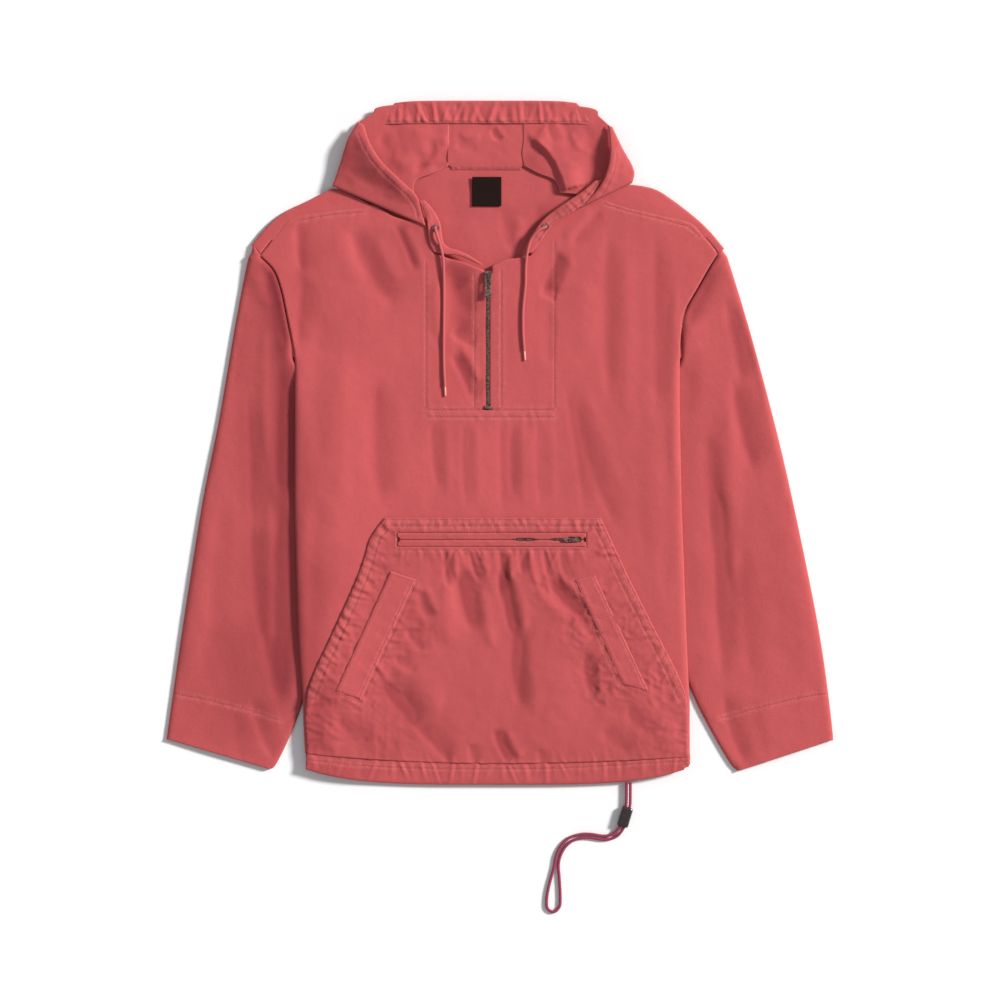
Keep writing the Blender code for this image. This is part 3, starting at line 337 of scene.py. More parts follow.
def risingFaces(node):
    # groups of joined faces that look up, each as (points in mm, triangles)
    bm = bmesh.new()
    bm.from_mesh(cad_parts[node].data)
    bmesh.ops.remove_doubles(bm, verts=bm.verts, dist=0.000002)
    bm.normal_update()
    left = dict.fromkeys(f for f in bm.faces if f.normal.z > 0.25)      # keeps its order, as a set wouldn't
    groups = []
    while left:
        reached, group = [left.popitem()[0]], []
        while reached:
            face = reached.pop()
            group.append(face)
            for edge in face.edges:
                for other in edge.link_faces:
                    if other in left:
                        del left[other]
                        reached.append(other)
        groups.append(group)
    found = []
    for group in sorted(groups, key=lambda g: -sum(f.calc_area() for f in g)):
        number, points, triangles = {}, [], []
        for face in group:
            for v in face.verts:
                if v not in number:
                    number[v] = len(points)
                    points.append(v.co / mm)
            triangles.append([number[v] for v in face.verts])
        found.append((points, triangles))
    bm.free()
    return found


def edgeLoops(points, triangles):
    # closed outlines of a group of faces, longest first, in plan
    seen = {}
    for triangle in triangles:
        for a, b in zip(triangle, triangle[1:] + triangle[:1]):
            seen[(a, b)] = True
    after = {a: b for a, b in seen if (b, a) not in seen}
    loops = []
    while after:
        start = next(iter(after))
        loop, at = [], start
        while at in after:
            loop.append(at)
            at = after.pop(at)
        loops.append([Vector((points[i].x, points[i].y)) for i in loop])
    length = lambda loop: sum((b - a).length for a, b in zip(loop, loop[1:] + loop[:1]))
    return sorted(loops, key=length, reverse=True)


def easedLoop(loop, step, corner=38.0):
    # rounds a loop's small facets away but keeps its corners; points about `step` apart
    kept = []
    for k, point in enumerate(loop):
        if (point - loop[k - 1]).length > 0.3:
            kept.append(point)
    count = len(kept)
    sharp = []
    for k in range(count):
        before, after = kept[k] - kept[k - 1], kept[(k + 1) % count] - kept[k]
        if before.angle(after, 0.0) > math.radians(corner):
            sharp.append(k)
    if not sharp:
        sharp = [0]
    eased = []
    for n, start in enumerate(sharp):
        end = sharp[(n + 1) % len(sharp)]
        span = (end - start) % count or count
        run = [kept[(start + k) % count] for k in range(span + 1)]
        ends = [2 * run[0] - run[1]] + run + [2 * run[-1] - run[-2]]
        for a, b, c, d in zip(ends, ends[1:], ends[2:], ends[3:]):
            pieces = max(1, round((c - b).length / step))
            for k in range(pieces):
                t = k / pieces
                eased.append(0.5 * (2 * b + (c - a) * t + (2 * a - 5 * b + 4 * c - d) * t * t
                                    + (3 * b - a - 3 * c + d) * t ** 3))
    return eased


class Level:
    # smooth height of a group of faces over the plan, in mm
    def __init__(self, points, triangles, cell=4.0, softness=7.0):
        tree = BVHTree.FromPolygons(points, triangles)
        xs, ys = [p.x for p in points], [p.y for p in points]
        margin = 3 * softness + cell
        self.left, self.low, self.cell = min(xs) - margin, min(ys) - margin, cell
        columns = int((max(xs) + margin - self.left) / cell) + 2
        rows = int((max(ys) + margin - self.low) / cell) + 2
        height, weight = np.zeros((rows, columns)), np.zeros((rows, columns))
        for j in range(rows):
            for i in range(columns):
                hit = tree.ray_cast(Vector((self.left + i * cell, self.low + j * cell, 300.0)),
                                    Vector((0, 0, -1)))[0]
                if hit is not None:
                    height[j, i], weight[j, i] = hit.z, 1.0
        reach = int(3 * softness / cell)
        taps = np.exp(-0.5 * (np.arange(-reach, reach + 1) * cell / softness) ** 2)
        far = np.exp(-0.5 * (np.arange(-4 * reach, 4 * reach + 1) * cell / (4 * softness)) ** 2)
        near = self.blurred(height, taps), self.blurred(weight, taps)
        wide = self.blurred(height, far), self.blurred(weight, far)
        mean = height.sum() / weight.sum()
        spread = (wide[0] + mean * 1e-4) / (wide[1] + 1e-4)
        self.grid = (near[0] + spread * 0.02) / (near[1] + 0.02)

    @staticmethod
    def blurred(grid, taps):
        for axis in (0, 1):
            grid = np.apply_along_axis(lambda line: np.convolve(line, taps, mode="full")[
                len(taps) // 2:len(taps) // 2 + len(line)], axis, grid)
        return grid

    def at(self, x, y):
        rows, columns = self.grid.shape
        u = np.clip((x - self.left) / self.cell, 0, columns - 1.001)
        v = np.clip((y - self.low) / self.cell, 0, rows - 1.001)
        i, j = u.astype(int), v.astype(int)
        s, t = u - i, v - j
        g = self.grid
        return (g[j, i] * (1 - s) * (1 - t) + g[j, i + 1] * s * (1 - t)
                + g[j + 1, i] * (1 - s) * t + g[j + 1, i + 1] * s * t)


def insideLoop(loop, x, y):
    # which of the points lie inside an outline
    inside = np.zeros(len(x), bool)
    for a, b in zip(loop, loop[1:] + loop[:1]):
        if a.y != b.y:
            crosses = (a.y > y) != (b.y > y)
            inside ^= crosses & (x < (b.x - a.x) * (y - a.y) / (b.y - a.y) + a.x)
    return inside


def alongLine(line, x, y):
    # for each point: distance run along a line, and signed distance from it
    best = np.full(len(x), 1e9)
    run, aside = np.zeros(len(x)), np.zeros(len(x))
    walked = 0.0
    for (ax, ay), (bx, by) in zip(line, line[1:]):
        dx, dy = bx - ax, by - ay
        length = math.hypot(dx, dy)
        t = np.clip(((x - ax) * dx + (y - ay) * dy) / length ** 2, 0, 1)
        away = np.hypot(x - ax - t * dx, y - ay - t * dy)
        nearer = away < best
        best = np.where(nearer, away, best)
        run = np.where(nearer, walked + t * length, run)
        aside = np.where(nearer, np.sign((x - ax) * dy - (y - ay) * dx) * away, aside)
        walked += length
    return run, aside, walked


def creaseRise(creases, x, y):
    # soft troughs and ridges: x0, y0, x1, y1, half width, rise, bow of the line, lean of its sides
    total = np.zeros(len(x))
    for x0, y0, x1, y1, width, rise, bow, lean in creases:
        dx, dy = x1 - x0, y1 - y0
        length = math.hypot(dx, dy)
        along = ((x - x0) * dx + (y - y0) * dy) / length ** 2
        across = ((x - x0) * dy - (y - y0) * dx) / length
        inside = np.clip(along, 0, 1)
        across = across - bow * 4 * inside * (1 - inside)
        taper = 0.55 + 0.45 * easeIn(np.minimum(inside, 1 - inside) / 0.35)
        share = across / (width * taper)
        share = share * (1 + lean * np.tanh(share * 1.5))
        total += rise * easeIn(along / 0.22) * easeIn((1 - along) / 0.22) * np.exp(-share ** 2)
    return total


def wander(x, y, size, amount, seed=0.0):
    # slow uneven lift of cloth that lies loose
    return np.array([noise.noise(Vector((a / size, b / size, seed))) for a, b in zip(x, y)]) * amount


def puckerRise(line, x, y, pucker, seed):
    # short uneven ridges across a seam
    draw = random.Random(seed)
    run, aside, length = alongLine(line, x, y)
    total = np.zeros(len(x))
    at = pucker["gap"] * 0.5
    while at < length:
        reach = pucker["reach"] * draw.uniform(0.5, 1.4)
        skew = draw.uniform(-0.5, 0.5)
        width = pucker["width"] * draw.uniform(0.7, 1.35)
        rise = pucker["rise"] * draw.uniform(0.35, 1.25)
        shift = (run - at - skew * aside) / width
        fall = np.exp(-(np.abs(aside) / reach) ** 1.5)
        if pucker.get("side"):
            fall = fall * np.where(aside * pucker["side"] > -1.0, 1.0, 0.15)
        total += rise * (np.exp(-shift ** 2) - 0.55 * np.exp(-(shift - 1.35) ** 2)) * fall
        at += pucker["gap"] * draw.uniform(0.55, 1.5)
    return total


# helpers for making cloth
finished = {}                  # name of each cloth piece: its tree for laying things on


def seamPoints(lines, step):
    # rows of points on a seam and at both of its sides
    points = []
    for line in lines:
        for (ax, ay), (bx, by) in zip(line, line[1:]):
            length = math.hypot(bx - ax, by - ay)
            nx, ny = -(by - ay) / length, (bx - ax) / length
            for k in range(max(1, round(length / step))):
                t = k / max(1, round(length / step))
                x, y = ax + (bx - ax) * t, ay + (by - ay) * t
                for off in (0.0, 1.3, -1.3, 2.6, -2.6):
                    points.append((x + nx * off, y + ny * off))
    return points


def flatMesh(outer, holes, step, lines=(), coarse=None):
    # plan triangles of a panel: edge, two rows beside it, rows along its seams, and an even field
    loops = [outer] + holes
    points, edges = [], []
    for loop in loops:
        first = len(points)
        points += [(p.x, p.y) for p in loop]
        edges += [(first + k, first + (k + 1) % len(loop)) for k in range(len(loop))]
    rim = KDTree(len(points))
    for k, (x, y) in enumerate(points):
        rim.insert((x, y, 0), k)
    rim.balance()
    rows = []
    for loop in loops:
        for k, p in enumerate(loop):
            tangent = loop[(k + 1) % len(loop)] - loop[k - 1]
            if tangent.length > 1e-6:
                normal = Vector((-tangent.y, tangent.x)).normalized()
                for off in (1.1, 2.4):
                    rows += [(p.x + normal.x * off, p.y + normal.y * off),
                             (p.x - normal.x * off, p.y - normal.y * off)]
    low, high = np.min(points, axis=0), np.max(points, axis=0)

    def kept(candidates, gap, taken):
        if not len(candidates):
            return []
        spots = np.array(candidates)
        ok = insideLoop(outer, spots[:, 0], spots[:, 1])
        for hole in holes:
            ok &= ~insideLoop(hole, spots[:, 0], spots[:, 1])
        chosen = []
        cells = {}
        for x, y in taken:
            cells.setdefault((int(x // gap), int(y // gap)), []).append((x, y))
        for x, y in spots[ok]:
            cx, cy = int(x // gap), int(y // gap)
            clear = all((x - ox) ** 2 + (y - oy) ** 2 >= gap * gap
                        for i in (-1, 0, 1) for j in (-1, 0, 1) for ox, oy in cells.get((cx + i, cy + j), ()))
            if clear:
                cells.setdefault((cx, cy), []).append((x, y))
                chosen.append((x, y))
        return chosen

    beside = kept(rows, 0.9, points)
    sewn = kept(seamPoints(lines, step), 0.9, points + beside)
    field = []
    j = 0
    y = low[1]
    while y < high[1]:
        x = low[0] + (step / 2 if j % 2 else 0)
        while x < high[0]:
            if coarse is None or not coarse(x, y) or (j % 3 == 0 and round((x - low[0]) / step) % 3 == 0):
                field.append((x, y))
            x += step
        y += step * 0.87
        j += 1
    field = kept(field, step * 0.62, points + beside + sewn)
    everything = points + beside + sewn + field
    made = delaunay_2d_cdt([Vector(p) for p in everything], edges, [], 0, 0.0001, False)
    spots = np.array([(v.x, v.y) for v in made[0]])
    corners = np.array([list(f) for f in made[2]])
    centres = spots[corners].mean(axis=1)
    within = insideLoop(outer, centres[:, 0], centres[:, 1])
    for hole in holes:
        within &= ~insideLoop(hole, centres[:, 0], centres[:, 1])
    faces = corners[within].tolist()
    distance = np.array([rim.find((x, y, 0))[2] for x, y in spots])
    return spots, faces, distance


def sheetObject(name, spots, heights, faces, finish, wall, attributes):
    # one shell from its plan and its heights, with wear and painted shade stored at its points
    mesh = bpy.data.meshes.new(name)
    mesh.from_pydata([(x * mm, y * mm, z * mm) for (x, y), z in zip(spots, heights)], [], faces)
    mesh.update()
    for key, values in attributes.items():
        layer = mesh.attributes.new(key, "FLOAT", "POINT")
        layer.data.foreach_set("value", np.asarray(values, np.float32))
    bm = bmesh.new()
    bm.from_mesh(mesh)
    bmesh.ops.delete(bm, geom=[v for v in bm.verts if not v.link_faces], context="VERTS")
    bmesh.ops.recalc_face_normals(bm, faces=bm.faces[:])
    highest = max(bm.faces, key=lambda f: f.calc_center_median().z)
    if highest.normal.z < 0:
        bmesh.ops.reverse_faces(bm, faces=bm.faces[:])
    bm.to_mesh(mesh)
    bm.free()
    piece = bpy.data.objects.new(name, mesh)
    bpy.context.scene.collection.objects.link(piece)
    mesh.materials.append(finish)
    mesh.shade_smooth()
    finished[name] = BVHTree.FromPolygons([v.co / mm for v in mesh.vertices],
                                          [p.vertices for p in mesh.polygons])
    if wall:
        thick = piece.modifiers.new("wall", "SOLIDIFY")
        thick.thickness = wall * mm
        thick.offset = -1.0
        useModifiers(piece)
    return piece


def faceOut(mesh):
    # turns every face of a closed mesh outwards
    bm = bmesh.new()
    bm.from_mesh(mesh)
    bmesh.ops.recalc_face_normals(bm, faces=bm.faces[:])
    bm.to_mesh(mesh)
    bm.free()


def tubeFaces(rings, sides, first=0):
    # the skin of a closed tube whose rings of points were made one after another
    faces = []
    for ring in range(rings - 1):
        for q in range(sides):
            a, b = first + ring * sides + q, first + ring * sides + (q + 1) % sides
            faces.append((a, b, b + sides, a + sides))
    last = first + (rings - 1) * sides
    faces.append(tuple(first + q for q in range(sides - 1, -1, -1)))
    faces.append(tuple(last + q for q in range(sides)))
    return faces


def asPiece(name, mesh, finish):
    # a smooth mesh as one piece of the garment
    mesh.materials.append(finish)
    mesh.shade_smooth()
    made = bpy.data.objects.new(name, mesh)
    bpy.context.scene.collection.objects.link(made)
    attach(made, "garment")
    return made


def useModifiers(piece):
    # applies all of a piece's modifiers
    bpy.ops.object.select_all(action="DESELECT")
    bpy.context.view_layer.objects.active = piece
    piece.select_set(True)
    for modifier in list(piece.modifiers):
        bpy.ops.object.modifier_apply(modifier=modifier.name)
    piece.select_set(False)


def letOut(loop, reach):
    # an outline carried on under its neighbours, by reach at each of its points
    turn = 1 if sum(a.x * b.y - b.x * a.y for a, b in zip(loop, loop[1:] + loop[:1])) > 0 else -1
    moved = []
    for k, p in enumerate(loop):
        along = (loop[(k + 1) % len(loop)] - loop[k - 1]).normalized()
        far = reach(p.x, p.y)
        outward = Vector((along.y, -along.x)) * turn
        moved.append(p + (Vector(far) if isinstance(far, tuple) else outward * far))
    return moved


def areaOf(piece):
    return sum(p.area for p in piece.data.polygons)


def spanBetween(names, corners, x, y):
    # heights of a band that spans from one of its long edges to the other, over the slit between them
    a, b, c, d = (np.array(p, float) for p in corners)
    share = np.linspace(0, 1, 61)
    ramps = []
    for start, end in ((a, d), (b, c)):
        heights = [heightOn(names, *(start + (end - start) * t)) for t in share]
        padded = np.pad(heights, 6, mode="edge")
        ramps.append(np.convolve(padded, np.ones(13) / 13, "valid"))
    down, right = (d - a + c - b) / 2, (b - a + c - d) / 2
    t = ((x - (a[0] + b[0]) / 2) * down[0] + (y - (a[1] + b[1]) / 2) * down[1]) / (down @ down)
    u = ((x - (a[0] + d[0]) / 2) * right[0] + (y - (a[1] + d[1]) / 2) * right[1]) / (right @ right)
    t, u = np.clip(t, 0, 1), np.clip(u, 0, 1)
    return np.interp(t, share, ramps[0]) * (1 - u) + np.interp(t, share, ramps[1]) * u


def crumpleRise(patches, x, y, seed):
    # small sharp ridges where a seam has drawn the cloth together: x, y, radius, rise
    strength = np.zeros(len(x))
    for cx, cy, radius, amount in patches:
        away = ((x - cx) ** 2 + (y - cy) ** 2) / radius ** 2
        strength = np.maximum(strength, amount * np.exp(-away ** 1.5))
    ridges = np.zeros(len(x))
    for k in np.flatnonzero(strength > 0.02):
        broad = noise.noise(Vector((x[k] / 15.0, y[k] / 11.0, seed)))
        fine = noise.noise(Vector((x[k] / 7.5, y[k] / 6.0, seed + 3)))
        ridges[k] = 0.34 - abs(broad) - 0.5 * abs(fine)
    return 2.2 * strength * ridges


def layCloth(piece, group=0):
    # one panel on the form of its solid, with the folds, seams and puckers of its dictionary
    points, triangles = risingFaces(piece["node"])[group]
    level = Level(points, triangles, piece.get("cell", 4.0), piece.get("soft", 7.0))
    loops = [easedLoop(loop, piece.get("edgeStep", piece["step"]), piece.get("corner", 38.0))
             for loop in edgeLoops(points, triangles)]
    outer, holes = loops[0], loops[1:]
    if "outline" in piece:
        outer = easedLoop([Vector(p) for p in piece["outline"]], piece["step"], piece.get("corner", 38.0))
    if "letOut" in piece:
        outer = letOut(outer, piece["letOut"])
    seams = piece.get("seams", [])
    lines = [seam["line"] for seam in seams]
    spots, faces, distance = flatMesh(outer, holes, piece["step"], lines, piece.get("coarse"))
    x, y = spots[:, 0], spots[:, 1]
    z = level.at(x, y) + piece.get("lift", 0.0)
    if "over" in piece:
        z = spanBetween(piece["over"], piece["corners"], x, y) + piece["lift"]
    if "swell" in piece:
        z = z + piece["swell"](x, y, distance)
    inland = easeIn(distance / piece.get("edgeCalm", 10.0))
    rise = creaseRise(piece.get("creases", []), x, y)
    loose = wander(x, y, piece.get("wanderSize", 55.0), piece.get("wander", 0.8), piece.get("seed", 1)) \
        + wander(x, y, piece.get("wanderSize", 55.0) * 0.35, piece.get("wander", 0.8) * 0.4,
                 piece.get("seed", 1) + 9)
    z = z + rise + loose * inland
    if "crumple" in piece:
        z = z + crumpleRise(piece["crumple"], x, y, piece["seed"]) * easeIn(distance / 3.0)
    wear = 0.9 * np.exp(-(distance / 1.6) ** 2)
    # painted shade: darker in the crease troughs and in the paintedShades rows
    fold = np.clip(-rise * piece.get("foldShade", 0.05) + creaseRise(piece.get("paintedShades", []), x, y), 0, 1)
    for n, seam in enumerate(seams):
        run, aside, length = alongLine(seam["line"], x, y)
        ends = (run > 0.01) & (run < length - 0.01)
        groove = seam.get("groove", 0.45)
        z = z - np.where(ends, groove * np.exp(-(aside / 1.1) ** 2), 0.0)
        z = z + np.where(ends, seam.get("roll", 0.25) * np.exp(-((np.abs(aside) - 2.6) / 1.4) ** 2), 0.0)
        wear = np.maximum(wear, seam.get("wear", 0.8) * np.exp(-((np.abs(aside) - 2.0) / 2.0) ** 2))
        # painted shade along each seam's groove, by its dark amount
        fold = np.maximum(fold, seam.get("dark", 0.35) * np.exp(-(aside / 0.9) ** 2) * ends)
        if "pucker" in seam:
            z = z + puckerRise(seam["line"], x, y, seam["pucker"],
                               11 * n + piece.get("seed", 1)) * easeIn(distance / 2.0)
    roll = piece.get("edgeRoll", 1.5)
    reach = piece.get("edgeReach", 2.6)
    t = np.clip(distance / reach, 0, 1)
    z = z - roll * (1 - np.sqrt(np.clip(1 - (1 - t) ** 2, 0, 1)))
    z = np.maximum(z, piece.get("low", 0.0))
    if "clear" in piece:
        z = np.maximum(z, np.array([heightOn(piece["on"], a, b) for a, b in spots]) + piece["clear"])
    made = sheetObject(piece["name"], spots, z, faces, piece["finish"], piece.get("wall", 1.3),
                       {"wear": wear, "fold": fold})
    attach(made, "garment")
    if piece.get("replaces", True):
        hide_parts(piece["node"])
    area = areaOf(made) / 2
    width, length = piece["cut"]
    min(area, width * length)
    print(piece["name"], len(made.data.polygons), "faces", round(area, 4), "m2")


def heightOn(names, x, y):
    # the top of the cloth pieces named, at one place of the plan
    best = None
    for name in names:
        hit = finished[name].ray_cast(Vector((x, y, 300.0)), Vector((0, 0, -1)))[0]
        if hit is not None and (best is None or hit.z > best):
            best = hit.z
    return 0.0 if best is None else best


def offsetLine(line, off):
    # the same line moved to its left by off, or to its right where off is negative
    moved = []
    for k, (x, y) in enumerate(line):
        a, b = line[max(k - 1, 0)], line[min(k + 1, len(line) - 1)]
        dx, dy = b[0] - a[0], b[1] - a[1]
        length = math.hypot(dx, dy)
        moved.append((x - dy / length * off, y + dx / length * off))
    return moved


thread = {"stitch": 2.5, "gap": 1.0, "thick": 0.62, "proud": 0.16}


def sewStitches(name, lines, on):
    # lockstitches as small rounded bars, all of one seam group in one mesh
    verts, faces = [], []
    draw = random.Random(len(lines) * 7 + len(name))
    pitch = thread["stitch"] + thread["gap"]
    for line in lines:
        for (ax, ay), (bx, by) in zip(line, line[1:]):
            length = math.hypot(bx - ax, by - ay)
            dx, dy = (bx - ax) / length, (by - ay) / length
            for k in range(max(1, int(length / pitch))):
                s = (k + 0.5) * length / max(1, int(length / pitch))
                half = thread["stitch"] / 2 * draw.uniform(0.88, 1.08)
                cx = ax + dx * s - dy * draw.uniform(-0.12, 0.12)
                cy = ay + dy * s + dx * draw.uniform(-0.12, 0.12)
                ends = [(cx - dx * half, cy - dy * half), (cx + dx * half, cy + dy * half)]
                heights = [heightOn(on, *p) for p in ends]
                middle = heightOn(on, cx, cy)
                first = len(verts)
                r = thread["thick"] / 2
                for share, size, sink in ((-1.0, 0.35, -0.18), (-0.72, 0.85, 0.0), (0.0, 1.0, 0.08),
                                          (0.72, 0.85, 0.0), (1.0, 0.35, -0.18)):
                    z = (heights[0] if share < 0 else heights[1]) * abs(share) + middle * (1 - abs(share))
                    px, py = cx + dx * half * share, cy + dy * half * share
                    for q in range(6):
                        angle = q * math.pi / 3
                        verts.append((px - dy * r * size * math.cos(angle),
                                      py + dx * r * size * math.cos(angle),
                                      z + thread["proud"] + sink + r * size * math.sin(angle)))
                faces += tubeFaces(5, 6, first)
    mesh = bpy.data.meshes.new(name)
    mesh.from_pydata([(x * mm, y * mm, z * mm) for x, y, z in verts], [], faces)
    faceOut(mesh)
    asPiece(name, mesh, seamThread)


def through(points, steps):
    # a smooth curve through points of a table
    points = [Vector(p) for p in points]
    ends = [2 * points[0] - points[1]] + points + [2 * points[-1] - points[-2]]
    curve = []
    for a, b, c, d in zip(ends, ends[1:], ends[2:], ends[3:]):
        for k in range(steps):
            t = k / steps
            curve.append(0.5 * (2 * b + (c - a) * t + (2 * a - 5 * b + 4 * c - d) * t * t
                                + (3 * b - a - 3 * c + d) * t ** 3))
    return curve + [points[-1]]


def evenSteps(curve, step):
    # the curve again in equal steps, and its length
    walked = [0.0]
    for a, b in zip(curve, curve[1:]):
        walked.append(walked[-1] + (b - a).length)
    count = max(2, round(walked[-1] / step))
    spaced, k = [], 1
    for n in range(count + 1):
        goal = walked[-1] * n / count
        while k < len(walked) - 1 and walked[k] < goal:
            k += 1
        share = (goal - walked[k - 1]) / max(walked[k] - walked[k - 1], 1e-9)
        spaced.append(curve[k - 1].lerp(curve[k], share))
    return spaced, walked[-1]


# cords: route, braid and ends
cords = {
    "left": {"route": [(-77.0, 257.5), (-74.8, 247), (-71, 235), (-68, 220), (-67, 194), (-67, 160),
                       (-67.3, 120), (-67, 91), (-65.7, 67)]},
    "right": {"route": [(55.0, 259.0), (45.5, 253.5), (38, 244), (33.2, 229), (31.2, 210), (30.8, 190),
                        (28, 160), (28, 132), (29.6, 110)]},
    "hem": {"route": [(157.0, -408.0), (156.9, -424), (156.4, -436), (152.8, -450), (148.6, -463),
                      (139.6, -473.6), (125.5, -477), (109, -474.6), (98, -475), (86.6, -479), (78, -487),
                      (72.6, -497.5), (70.6, -508), (71.4, -520), (72.4, -535), (72.8, -549), (71.6, -558),
                      (65, -564), (57.6, -560), (56.4, -550), (58.6, -535), (62.6, -520), (65.6, -508.6),
                      (67.8, -496.6), (73.6, -484.6), (83.6, -475), (97, -470.6), (109.4, -470.4),
                      (125, -472.6), (136, -470.2), (144.2, -461.2), (148.4, -449), (151.8, -436),
                      (152.4, -424), (152.6, -408.0)],
            "held": 4.7, "lying": 2.0},
    "thick": 3.6, "around": 20, "ring": 0.62, "strands": 4, "pitch": 7.6, "swell": 0.16,
}


def braidTube(name, path, finish):
    # a round braid: strands wind both ways, so its skin has small diamonds
    curve, length = evenSteps(path, cords["ring"])
    verts, marks = [], []
    sides = cords["around"]
    up = Vector((0, 0, 1))
    for k, at in enumerate(curve):
        ahead = (curve[min(k + 1, len(curve) - 1)] - curve[max(k - 1, 0)]).normalized()
        across = ahead.cross(up).normalized()
        over = across.cross(ahead)
        s = length * k / (len(curve) - 1)
        closing = 1.0 if 0 < k < len(curve) - 1 else 0.72
        for q in range(sides):
            angle = 2 * math.pi * q / sides
            one = abs(math.sin(cords["strands"] * angle / 2 + math.pi * s / cords["pitch"] * 2))
            other = abs(math.sin(cords["strands"] * angle / 2 - math.pi * s / cords["pitch"] * 2))
            r = (cords["thick"] / 2 - cords["swell"] * (1 - max(one, other))) * closing
            verts.append(at + (across * math.cos(angle) + over * math.sin(angle)) * r)
            marks.append((q / sides, s * mm))
    mesh = bpy.data.meshes.new(name)
    mesh.from_pydata([tuple(v * mm) for v in verts], [], tubeFaces(len(curve), sides))
    uv = mesh.uv_layers.new(name="UVMap")
    for polygon in mesh.polygons:
        wraps = len(polygon.vertices) == 4
        last = wraps and any(v % sides == sides - 1 for v in polygon.vertices) and \
            any(v % sides == 0 for v in polygon.vertices)
        for corner in polygon.loop_indices:
            u, v = marks[mesh.loops[corner].vertex_index]
            uv.data[corner].uv = (1.0 if last and u == 0 else u, v)
    faceOut(mesh)
    return asPiece(name, mesh, finish), curve, length


def solidTop(nodes):
    # finds the highest point of some solids around a place
    trees = [BVHTree.FromPolygons([v.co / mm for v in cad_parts[n].data.vertices],
                                  [p.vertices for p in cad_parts[n].data.polygons]) for n in nodes]

    def top(x, y, reach):
        best = 0.0
        for i in range(-3, 4):
            for j in range(-3, 4):
                for tree in trees:
                    hit = tree.ray_cast(Vector((x + reach * i / 3, y + reach * j / 3, 200.0)),
                                        Vector((0, 0, -1)))[0]
                    if hit is not None:
                        best = max(best, hit.z)
        return best
    return top


def hoodCord(side):
    # out of its eyelet, over the neckline and down the front, in the room its solid has
    top = solidTop(["front_panel", "hood_casing_" + side, "back_panel", "hood_" + side, "eyelet_" + side])
    route = []
    for n, (x, y) in enumerate(cords[side]["route"]):
        extra = (1.2, 0.8, 0.3)[n] if n < 3 else 0.0
        route.append((x, y, top(x, y, 7) + cords["thick"] / 2 + 0.4 + extra))
    low = route[0][2] - 5.0
    path = through([(route[0][0], route[0][1], low),
                    (route[0][0] - 0.4, route[0][1] - 0.6, route[0][2] - 1.6)] + route[1:], 10)
    made, curve, length = braidTube("hoodCord_" + side, path, cordCotton)
    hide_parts("hood_cord_" + side)
    end, before = curve[-1], curve[-4]
    along = (end - before).normalized()
    rings = [(0.0, 0.9), (0.5, 1.32), (1.2, 1.3), (2.0, 1.12), (2.4, 1.12), (3.2, 1.3), (9.5, 1.22),
             (11.2, 1.1), (11.8, 0.8), (12.0, 0.3)]
    verts = []
    across = along.cross(Vector((0, 0, 1))).normalized()
    over = across.cross(along)
    for s, r in rings:
        at = end + along * (s - 0.6)
        at.z = max(at.z, frontTopAt(at.x, at.y) + 1.5)
        for q in range(16):
            angle = 2 * math.pi * q / 16
            verts.append((at + (across * math.cos(angle) + over * math.sin(angle)) * r) * mm)
    mesh = bpy.data.meshes.new("cordTip_" + side)
    mesh.from_pydata([tuple(v) for v in verts], [], tubeFaces(len(rings), 16))
    faceOut(mesh)
    tip = asPiece("cordTip_" + side, mesh, tipPlastic)
    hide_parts("cord_tip_" + side)
    tuple(curve[0] * mm)
    length * mm
    [tuple(p * mm) for p in curve[::6] + [curve[-1]]]
    print(made.name, round(length), "mm")


frontSolid = Level(*risingFaces("front_panel")[0])
frontTopAt = lambda x, y: float(frontSolid.at(np.array([x]), np.array([y]))[0])
hoodCord("left")
hoodCord("right")

held = lambda y: float(easeIn((y + 480) / 18))
hemPath = through([(x, y, cords["hem"]["lying"] * (1 - held(y)) + cords["hem"]["held"] * held(y))
                   for x, y in cords["hem"]["route"]], 10)
hemCord, hemCurve, hemLength = braidTube("hemCord", hemPath, hemCordCotton)
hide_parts("hem_cord")
tuple(hemCurve[0] * mm)
hemLength * mm
[tuple(p * mm) for p in hemCurve[::6] + [hemCurve[-1]]]
print("hem cord", round(hemLength), "mm")


# sleeves
def sideRise(x, y):
    # the body's cloth swells into a soft roll along its two sides
    leftSide = easeIn((-125.0 - x) / 85.0) * easeIn((118.0 - y) / 60.0)
    rightSide = easeIn((x - 110.0) / 85.0) * easeIn((130.0 - y) / 60.0)
    return 3.4 * leftSide + 1.6 * rightSide


